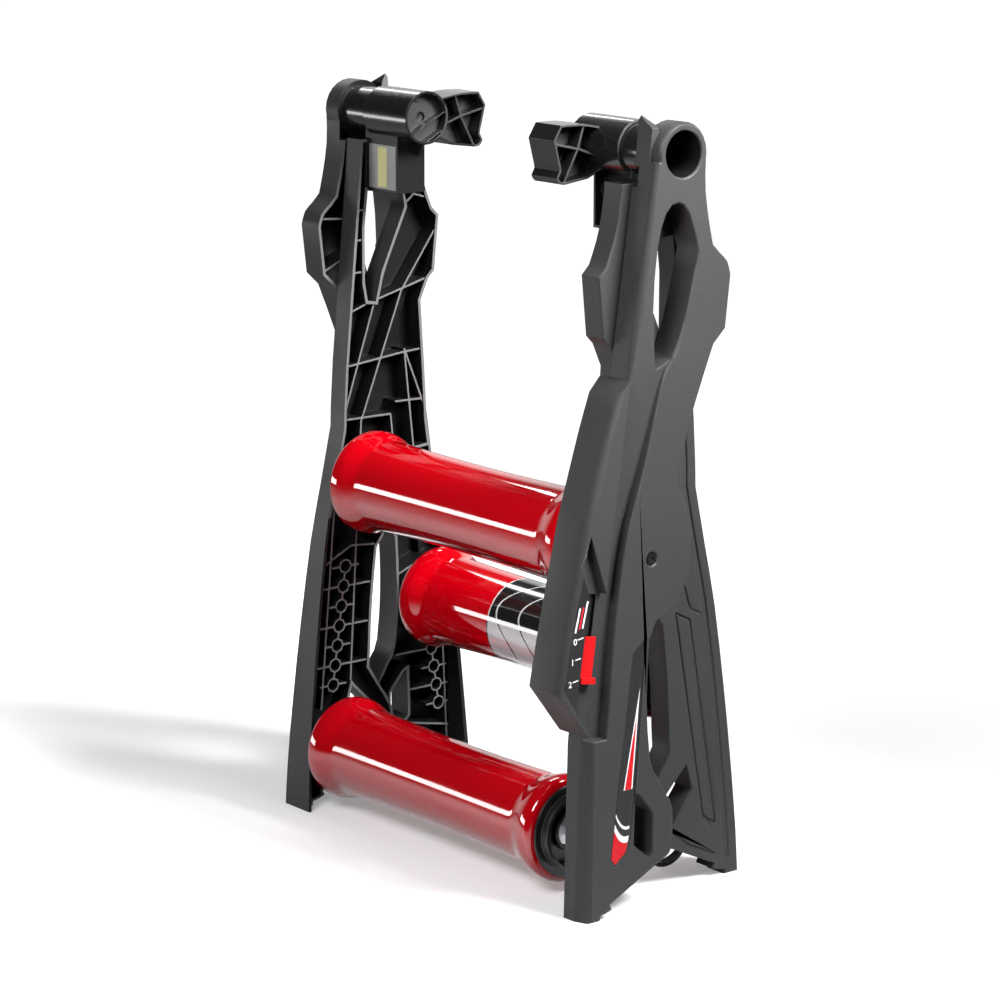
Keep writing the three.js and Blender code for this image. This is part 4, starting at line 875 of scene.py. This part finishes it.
@dataclass
class Drum:
    """One roller drum: its coated tube, both end caps and what they turn on."""

    name: str
    body: str
    axis: Place
    coating: str = "red"
    length: float = 343 * MM
    rim: float = 50 * MM
    rim_width: float = 12 * MM
    rim_flat: float = 0.8
    collar: float = 38 * MM
    neck: float = 43.5 * MM
    middle: float = 41.5 * MM
    end: float = 44 * MM
    bore: float = 39.6 * MM
    flange: float = 43.4 * MM
    seat_gap: float = 0.3 * MM
    flange_width: float = 2.5 * MM
    pulley: float = 36 * MM
    pulley_width: float = 8 * MM
    pulley_groove: float = 2.6 * MM
    dish: float = 32 * MM
    dish_depth: float = 6 * MM
    hub: float = 19 * MM
    seat: float = 15.7 * MM
    plug_length: float = 13 * MM
    plug: float = 38.8 * MM
    lip_steps: int = 5
    collar_steps: int = 12
    crown_steps: int = 10
    groove_steps: int = 8
    tube_steps: int = 128
    soft: float = 0.5 * MM

    def half_outline(self) -> list[Place]:
        """Returns the outside from one end to the middle, as [radius, way in]."""
        lip = self.rim_width / 2
        start = self.rim_width * self.rim_flat
        fall = self.rim - self.end
        points = []
        for step in range(self.lip_steps + 1):
            turn = math.pi / 2 * step / self.lip_steps
            points.append((self.end + fall * math.sin(turn), lip * (1 - math.cos(turn))))
        for step in range(self.collar_steps + 1):
            share = step / self.collar_steps
            ease = share * share * (3 - 2 * share)
            points.append((self.rim + (self.neck - self.rim) * ease,
                           start + (self.collar - start) * share))
        half = self.length / 2
        for step in range(1, self.crown_steps + 1):
            share = step / self.crown_steps
            points.append((self.middle + (self.neck - self.middle) * (1 - share) ** 2,
                           self.collar + (half - self.collar) * share))
        return points

    def tube(self) -> bpy.types.Object:
        """Returns the coated tube, spun with its flared ends and crowned middle."""
        half = self.length / 2
        outer = self.half_outline()
        profile = [(r, x - half) for r, x in outer]
        profile += [(r, half - x) for r, x in reversed(outer[:-1])]
        profile += [(self.bore, half), (self.bore, -half), (self.end, -half)]
        return turned_piece(self.name + "_shell", self.axis, profile, self.tube_steps)

    def cap(self, hand: int, pulley: bool) -> bpy.types.Object:
        """Spins an end cap: plain on the left, with the belt pulley on the right.

        Args:
            hand: 1 on the right and -1 on the left.
            pulley: Whether the cap carries the belt pulley.

        Returns:
            The cap.
        """
        half = self.length / 2
        low = half + self.seat_gap
        face = low + self.flange_width
        soft = self.soft
        points = [(self.seat, half - self.plug_length), (self.plug, half - self.plug_length),
                  (self.plug, low), (self.flange - soft, low), (self.flange, low + soft),
                  (self.flange, face - soft), (self.flange - soft, face)]
        if pulley:
            top = face + self.pulley_width
            groove = self.pulley_width / 4
            floor = face - self.dish_depth
            points += [(self.pulley + soft, face), (self.pulley, face + soft),
                       (self.pulley, face + groove)]
            for step in range(1, self.groove_steps):
                share = step / self.groove_steps
                points.append((self.pulley - self.pulley_groove * math.sin(math.pi * share),
                               face + groove + (self.pulley_width - 2 * groove) * share))
            points += [(self.pulley, top - groove), (self.pulley, top - soft),
                       (self.pulley - soft, top), (self.dish + soft, top),
                       (self.dish, top - soft), (self.dish, floor + soft),
                       (self.dish - soft, floor), (self.hub + soft, floor),
                       (self.hub, floor + soft), (self.hub, face - soft),
                       (self.hub - soft, face)]
        points += [(self.seat, face), points[0]]
        profile = [(r, x * hand) for r, x in points]
        label = "_pulley_cap" if pulley else "_plain_cap"
        return turned_piece(self.name + label, self.axis, profile)

    def build(self, palette: Palette) -> list[bpy.types.Object]:
        """Builds the drum's new pieces and dresses the solids that stay.

        Args:
            palette: The finishes.

        Returns:
            The new pieces.
        """
        made = {"tube": self.tube(), "cap_left": self.cap(-1, False),
                "cap_right": self.cap(1, True)}
        for part, piece in made.items():
            finish = self.coating if part == "tube" else "black"
            hand_over(piece, palette, finish, self.body, f"{self.name}_{part}")
        for part in ("bearing_left", "bearing_right", "axle", "spacer_left", "spacer_right"):
            palette.paint(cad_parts[f"{self.name}_{part}"], "steel")
        return list(made.values())


@dataclass
class BrakeUnit:
    """Magnetic resistance unit: housing, its print, the red slider and what it moves."""

    skin: float = 246.1 * MM
    film: float = 0.15 * MM
    label: list[Place] = field(default_factory=lambda: [
        side(-109.2, 318), side(-112.6, 305), side(-123.2, 257), side(-130.5, 219),
        side(-117, 199), side(-102.4, 300)])
    marks: list[tuple[str, Place]] = field(default_factory=lambda: [
        ("0", side(-118.7, 261)), ("1", side(-121.5, 243)), ("2", side(-124.2, 223.5))])
    tick_length: float = 6 * MM
    tick_width: float = 0.9 * MM
    tick_offset: Place = (0.75, 0.3)
    digit: float = 8 * MM
    slope: float = 0.1394
    bars: list[tuple[str, Place, float]] = field(default_factory=lambda: [
        ("white", side(-116, 280), 22), ("redink", side(-111.8, 281.5), 20),
        ("white", side(-107.7, 284), 24)])
    bar_slope: float = 0.25
    bar_width: float = 1.6 * MM

    def build(self, palette: Palette) -> None:
        """Dresses the unit's solids and lays its plain print on the housing.

        Args:
            palette: The finishes.
        """
        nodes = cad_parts
        palette.paint(nodes["resistance_slider"], "slider")
        palette.paint(nodes["magnet_carrier"], "black")
        for index in (1, 2):
            palette.paint(nodes[f"brake_magnet_{index}"], "magnet")
        palette.paint(nodes["brake_disc"], "alloy")
        film = flat_piece("setting_label", self.label, self.skin, self.skin + self.film)
        hand_over(film, palette, "label", "rear_frame")
        for digit, place in self.marks:
            self._digit(digit, place, palette)
        for index, (ink, place, length) in enumerate(self.bars):
            self._stroke(f"print_bar_{index + 1}", place, (self.bar_slope, 1.0), length * MM,
                         self.bar_width, palette, ink)

    def _stroke(self, name: str, centre: Place, along: Place, length: float, width: float,
                palette: Palette, finish: str) -> None:
        """Lays one straight printed stroke.

        Args:
            name: The piece's name.
            centre: Its middle, [y, z] in metres.
            along: Its direction in the side view.
            length: Its length.
            width: Its width.
            palette: The finishes.
            finish: The finish's key.
        """
        way = Vector(along).normalized()
        across = Vector((-way.y, way.x)) * width / 2
        half = way * length / 2
        middle = Vector(centre)
        corners = [middle - half - across, middle + half - across, middle + half + across,
                   middle - half + across]
        piece = flat_piece(name, [tuple(c) for c in corners], self.skin + self.film,
                           self.skin + 2 * self.film)
        hand_over(piece, palette, finish, "rear_frame")

    def _digit(self, digit: str, place: Place, palette: Palette) -> None:
        """Prints one setting number with its tick.

        Args:
            digit: The number.
            place: Its middle, [y, z] in metres.
            palette: The finishes.
        """
        calm()
        bpy.ops.object.text_add(location=(self.skin + 1.5 * self.film, *place),
                                rotation=(math.pi / 2, 0.0, math.pi / 2))
        text = bpy.context.object
        text.data.body = digit
        text.data.size = self.digit
        text.data.align_x = text.data.align_y = "CENTER"
        text.data.extrude = self.film / 2
        bpy.ops.object.convert(target="MESH")
        hand_over(settle("setting_" + digit), palette, "white", "rear_frame")
        tick = tuple(a + self.digit * b for a, b in zip(place, self.tick_offset))
        self._stroke("setting_tick_" + digit, tick, (1.0, self.slope), self.tick_length,
                     self.tick_width, palette, "white")


@dataclass
class DriveBelt:
    """Elastic belt, wound three turns over the front drum's pulley and hanging to the floor."""

    axis: Place
    flange_x: float = 174.3 * MM
    gap: float = 0.3 * MM
    radius: float = 1.9 * MM
    bundle: float = 2.55 * MM
    turns: int = 3
    pulley: float = 36 * MM
    toe_radius: float = 24 * MM
    toe_offset: float = -3 * MM
    floor_gap: float = 6 * MM
    arc_steps: int = 24
    straight_steps: int = 12
    sides: int = 12
    smooth_angle: float = 60.0

    def route(self) -> list[Vector]:
        """Returns the centre line over all turns, closed on itself, in metres."""
        clear = self.bundle + self.radius
        over = (Vector(self.axis), self.pulley + self.gap + clear)
        toe = (Vector((self.axis[0] + self.toe_offset,
                       self.floor_gap + clear + self.toe_radius)), self.toe_radius)
        down = toe[0] - over[0]
        heading = math.atan2(down.y, down.x)
        lean = math.acos((over[1] - toe[1]) / down.length)
        turn: list[tuple[Vector, Vector]] = []
        ends = [(over, heading + lean, heading + 2 * math.pi - lean),
                (toe, heading - lean, heading + lean)]
        for index, ((centre, radius), low, high) in enumerate(ends):
            arc = []
            for step in range(self.arc_steps + 1):
                angle = low + (high - low) * step / self.arc_steps
                out = Vector((math.cos(angle), math.sin(angle)))
                arc.append((centre + out * radius, out))
            turn += arc
            (centre_2, radius_2), low_2, _ = ends[1 - index]
            start, out = arc[-1]
            finish = centre_2 + Vector((math.cos(low_2), math.sin(low_2))) * radius_2
            turn += [(start.lerp(finish, step / self.straight_steps), out)
                     for step in range(1, self.straight_steps)]
        count = len(turn) * self.turns
        middle = self.flange_x + self.gap + clear
        points = []
        for index in range(count):
            place, out = turn[index % len(turn)]
            phase = 2 * math.pi * index / count
            spot = place + out * self.bundle * math.sin(phase)
            points.append(Vector((middle + self.bundle * math.cos(phase), spot.x, spot.y)))
        return points

    def build(self, palette: Palette) -> bpy.types.Object:
        """Args:
            palette: The finishes.

        Returns:
            The belt.
        """
        points = self.route()
        curve = bpy.data.curves.new("drive_belt_round", "CURVE")
        curve.dimensions = "3D"
        curve.bevel_depth = self.radius
        curve.bevel_resolution = self.sides // 4
        curve.use_fill_caps = False
        spline = curve.splines.new("POLY")
        spline.points.add(len(points) - 1)
        for knot, place in zip(spline.points, points):
            knot.co = (*place, 1.0)
        spline.use_cyclic_u = True
        piece = bpy.data.objects.new("drive_belt_round", curve)
        bpy.context.scene.collection.objects.link(piece)
        take(piece)
        bpy.ops.object.convert(target="MESH")
        piece = settle("drive_belt_round")
        smooth(piece, self.smooth_angle)
        hand_over(piece, palette, "belt", "front_frame", "drive_belt")
        return piece


@dataclass
class FixingsAndPrint:
    """Screws, and the plain prints on the outer beam and on the fold joint's bracket."""

    skin: float = 246.5 * MM
    sink: float = 0.8 * MM
    film: float = 0.2 * MM
    panel: list[Place] = field(default_factory=lambda: [
        side(-37.5, 251), side(-53.5, 240), side(-62.5, 162), side(-69.5, 101), side(-75, 55),
        side(-70.5, 49), side(-58.5, 59), side(-55.5, 71), side(-40.5, 222)])
    plate: tuple[float, float, float, float] = (-188 * MM, -146 * MM, 606 * MM, 648 * MM)
    plate_y: float = -17 * MM + SHIFT_Y
    band_margin: float = 2 * MM

    def build(self, palette: Palette) -> None:
        """Dresses the screws and lays the prints.

        Args:
            palette: The finishes.
        """
        for name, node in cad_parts.items():
            if "_screw_" in name:
                palette.paint(node, "screw")
        base = self.skin - self.sink
        panel = flat_piece("beam_panel_print", self.panel, base, base + self.film)
        hand_over(panel, palette, "print", "rear_frame")
        low_x, high_x, low_z, high_z = self.plate
        third = (high_x - low_x) / 3
        card = self._card("bracket_plate", self.plate, 0)
        hand_over(card, palette, "foil", "rear_frame")
        band = self._card("bracket_plate_band",
                          (low_x + third, high_x - third, low_z + self.band_margin,
                           high_z - self.band_margin), 1)
        hand_over(band, palette, "cream", "rear_frame")

    def _card(self, name: str, edges: tuple[float, float, float, float],
              layer: int) -> bpy.types.Object:
        """Returns a thin rectangular plate for the bracket's front wall.

        Args:
            name: The piece's name.
            edges: Its left, right, lower and upper edge.
            layer: How many films lie under it.
        """
        low_x, high_x, low_z, high_z = edges
        y = self.plate_y - layer * self.film
        corners = [(low_x, y, low_z), (high_x, y, low_z), (high_x, y, high_z),
                   (low_x, y, high_z)]
        return plate(name, corners, (0.0, -self.film, 0.0))


# ---------------------------------------------------------------- studio


@dataclass
class Softbox:
    """One area light. Where it doesn't light, it is only seen mirrored in glossy surfaces."""

    name: str
    place: Spot
    aim: Spot
    width: float
    height: float
    watts: float
    lights: bool = True
    spread: float = 180.0

    def build(self) -> None:
        """Adds the light, turned to its aim."""
        data = bpy.data.lights.new(self.name, "AREA")
        data.shape = "RECTANGLE"
        data.size = self.width
        data.size_y = self.height
        data.energy = self.watts
        data.spread = math.radians(self.spread)
        lamp = bpy.data.objects.new(self.name, data)
        bpy.context.scene.collection.objects.link(lamp)
        lamp.location = self.place
        way = Vector(self.aim) - Vector(self.place)
        lamp.rotation_euler = way.to_track_quat("-Z", "Y").to_euler()
        lamp.visible_diffuse = self.lights


@dataclass
class Studio:
    """Camera, plain white floor, world and softboxes."""

    eye: Spot = (2.496566, -1.993370 + SHIFT_Y, 1.032489)
    right: Spot = (0.622470, 0.782642, 0.001593)
    up: Spot = (-0.169324, 0.132683, 0.976588)
    lens: float = 125.684
    sensor: float = 36.0
    view_depth: float = 100.0
    floor_size: float = 60.0
    floor_roughness: float = 0.9
    floor_gloss: float = 0.1
    backdrop_way: Spot = (-0.78, 0.62, 0.0)
    backdrop_side: Place = (0.45, 0.75)
    backdrop_top: Place = (0.30, 0.42)
    world_level: float = 0.09
    mirror_level: float = 0.025
    backdrop_level: float = 0.9
    floor_level: float = 0.8
    bounce_level: float = 0.25
    floor_glow: float = 0.26
    far_glow: float = 1.0
    glow_reach: Place = (0.5, 1.0)
    mirror_glow: float = 0.2
    mirror_reach: float = 0.75
    mirror_fade: float = 1.15
    lamps: list[Softbox] = field(default_factory=lambda: [
        Softbox("front", (0.7, -1.3, 1.3), (0.2, 0.0, 0.42), 0.7, 0.6, 4.4, spread=60.0),
        Softbox("top", (0.2, 0.3, 2.5), (0.0, 0.0, 0.3), 1.6, 1.2, 11.0),
        Softbox("right", (0.95, 0.3, 1.3), (0.25, 0.0, 0.66), 0.6, 0.6, 11.0,
                spread=60.0),
        Softbox("horizon strip", (-1.8, -1.5, 0.30), (0.0, 0.0, 0.30), 1.1, 0.30, 11.0,
                lights=False),
        Softbox("high strip", (-1.7, 0.73, 1.65), (0.0, 0.0, 0.45), 1.0, 0.17, 6.0,
                lights=False),
    ])

    def build(self) -> None:
        """Builds the whole set."""
        self._camera()
        self._floor()
        self._world()
        for lamp in self.lamps:
            lamp.build()
        bpy.context.scene.view_settings.view_transform = "Standard"

    def _camera(self) -> None:
        """Adds the camera at the photograph's place."""
        data = bpy.data.cameras.new("camera")
        data.sensor_width = self.sensor
        data.sensor_fit = "HORIZONTAL"
        data.lens = self.lens
        data.clip_end = self.view_depth
        camera = bpy.data.objects.new("camera", data)
        bpy.context.scene.collection.objects.link(camera)
        right = Vector(self.right).normalized()
        up = Vector(self.up).normalized()
        back = right.cross(up)
        turn = Matrix((right, up, back)).transposed().to_4x4()
        camera.matrix_world = Matrix.Translation(Vector(self.eye)) @ turn
        bpy.context.scene.camera = camera

    def _floor(self) -> None:
        """Adds the floor with a white that keeps the shadow."""
        calm()
        bpy.ops.mesh.primitive_plane_add(size=self.floor_size)
        floor = settle("floor")
        material = bpy.data.materials.new("studio floor")
        graph = empty_graph(material)
        rays = graph.node("ShaderNodeLightPath").outputs
        place = graph.node("ShaderNodeTexCoord").outputs["Object"]
        away = graph.node("ShaderNodeVectorMath", {0: place}, operation="LENGTH").outputs["Value"]
        near = graph.span(away, self.mirror_reach, self.mirror_reach * self.mirror_fade,
                          self.mirror_glow, 0.0)
        glow = graph.span(away, *self.glow_reach, self.floor_glow, self.far_glow)
        shader = graph.node("ShaderNodeBsdfPrincipled", {
            "Base Color": graph.blend(rays["Is Diffuse Ray"], grey(self.floor_level),
                                      grey(self.bounce_level)),
            "Roughness": self.floor_roughness,
            "Emission Color": (1.0, 1.0, 1.0),
            "Emission Strength": graph.math(
                "ADD", graph.math("MULTIPLY", rays["Is Camera Ray"], glow),
                graph.math("MULTIPLY", rays["Is Glossy Ray"], near))})
        shader.inputs["Specular IOR Level"].default_value = self.floor_gloss
        graph.node("ShaderNodeOutputMaterial", {"Surface": shader.outputs[0]})
        floor.data.materials.append(material)

    def _world(self) -> None:
        """Sets a white that the camera sees and a softer one that lights."""
        world = bpy.data.worlds.new("studio world")
        bpy.context.scene.world = world
        graph = empty_graph(world)
        rays = graph.node("ShaderNodeLightPath").outputs
        way = graph.node("ShaderNodeTexCoord").outputs["Generated"]
        height = graph.node("ShaderNodeSeparateXYZ", {0: way}).outputs["Z"]
        behind = graph.node("ShaderNodeVectorMath", {0: way, 1: self.backdrop_way},
                            operation="DOT_PRODUCT").outputs["Value"]
        backdrop = graph.math("MULTIPLY", graph.span(behind, *self.backdrop_side),
                              graph.span(height, *self.backdrop_top, 1.0, 0.0))
        mirror = graph.span(backdrop, 0.0, 1.0, self.mirror_level, self.backdrop_level)
        lit = graph.math("ADD", graph.math("MULTIPLY", rays["Is Diffuse Ray"], self.world_level),
                         graph.math("MULTIPLY", rays["Is Glossy Ray"], mirror))
        strength = graph.math("ADD", lit, rays["Is Camera Ray"])
        back = graph.node("ShaderNodeBackground", {"Color": (1.0, 1.0, 1.0),
                                                   "Strength": strength})
        graph.node("ShaderNodeOutputWorld", {"Surface": back.outputs[0]})


def main() -> None:
    """Builds the scene: studio, belt, drums, beams, brake unit and prints."""
    logging.basicConfig(level=logging.INFO, format="%(message)s")
    Studio().build()
    front_axis = side(50.399, 195.847)
    palette = Palette(front_axis)
    DriveBelt(front_axis).build(palette)
    for drum in (Drum("top_drum", "top_drum", side(-31.796, 322.690)),
                 Drum("rear_drum", "rear_drum", side(-60.885, 61.223)),
                 Drum("front_drum", "front_drum", front_axis, coating="banded")):
        drum.build(palette)
    for beam in (SideBeam("rear_beam_left", "rear_frame", -216 * MM, -192 * MM, -193.5 * MM),
                 SideBeam("rear_beam_right", "rear_frame", 246.5 * MM, 217.5 * MM, 219 * MM),
                 SideBeam("front_beam_left", "front_frame", -246.5 * MM, -217.5 * MM, -219 * MM),
                 SideBeam("front_beam_right", "front_frame", 216 * MM, 192 * MM, 193.5 * MM),
                 SideBeam("resistance_housing", "rear_frame", 246.5 * MM, 205 * MM,
                          206.5 * MM, joint_height=1.0, sink=0.4 * MM)):
        beam.build(palette)
    BrakeUnit().build(palette)
    FixingsAndPrint().build(palette)


if __name__ == "__main__":
    main()
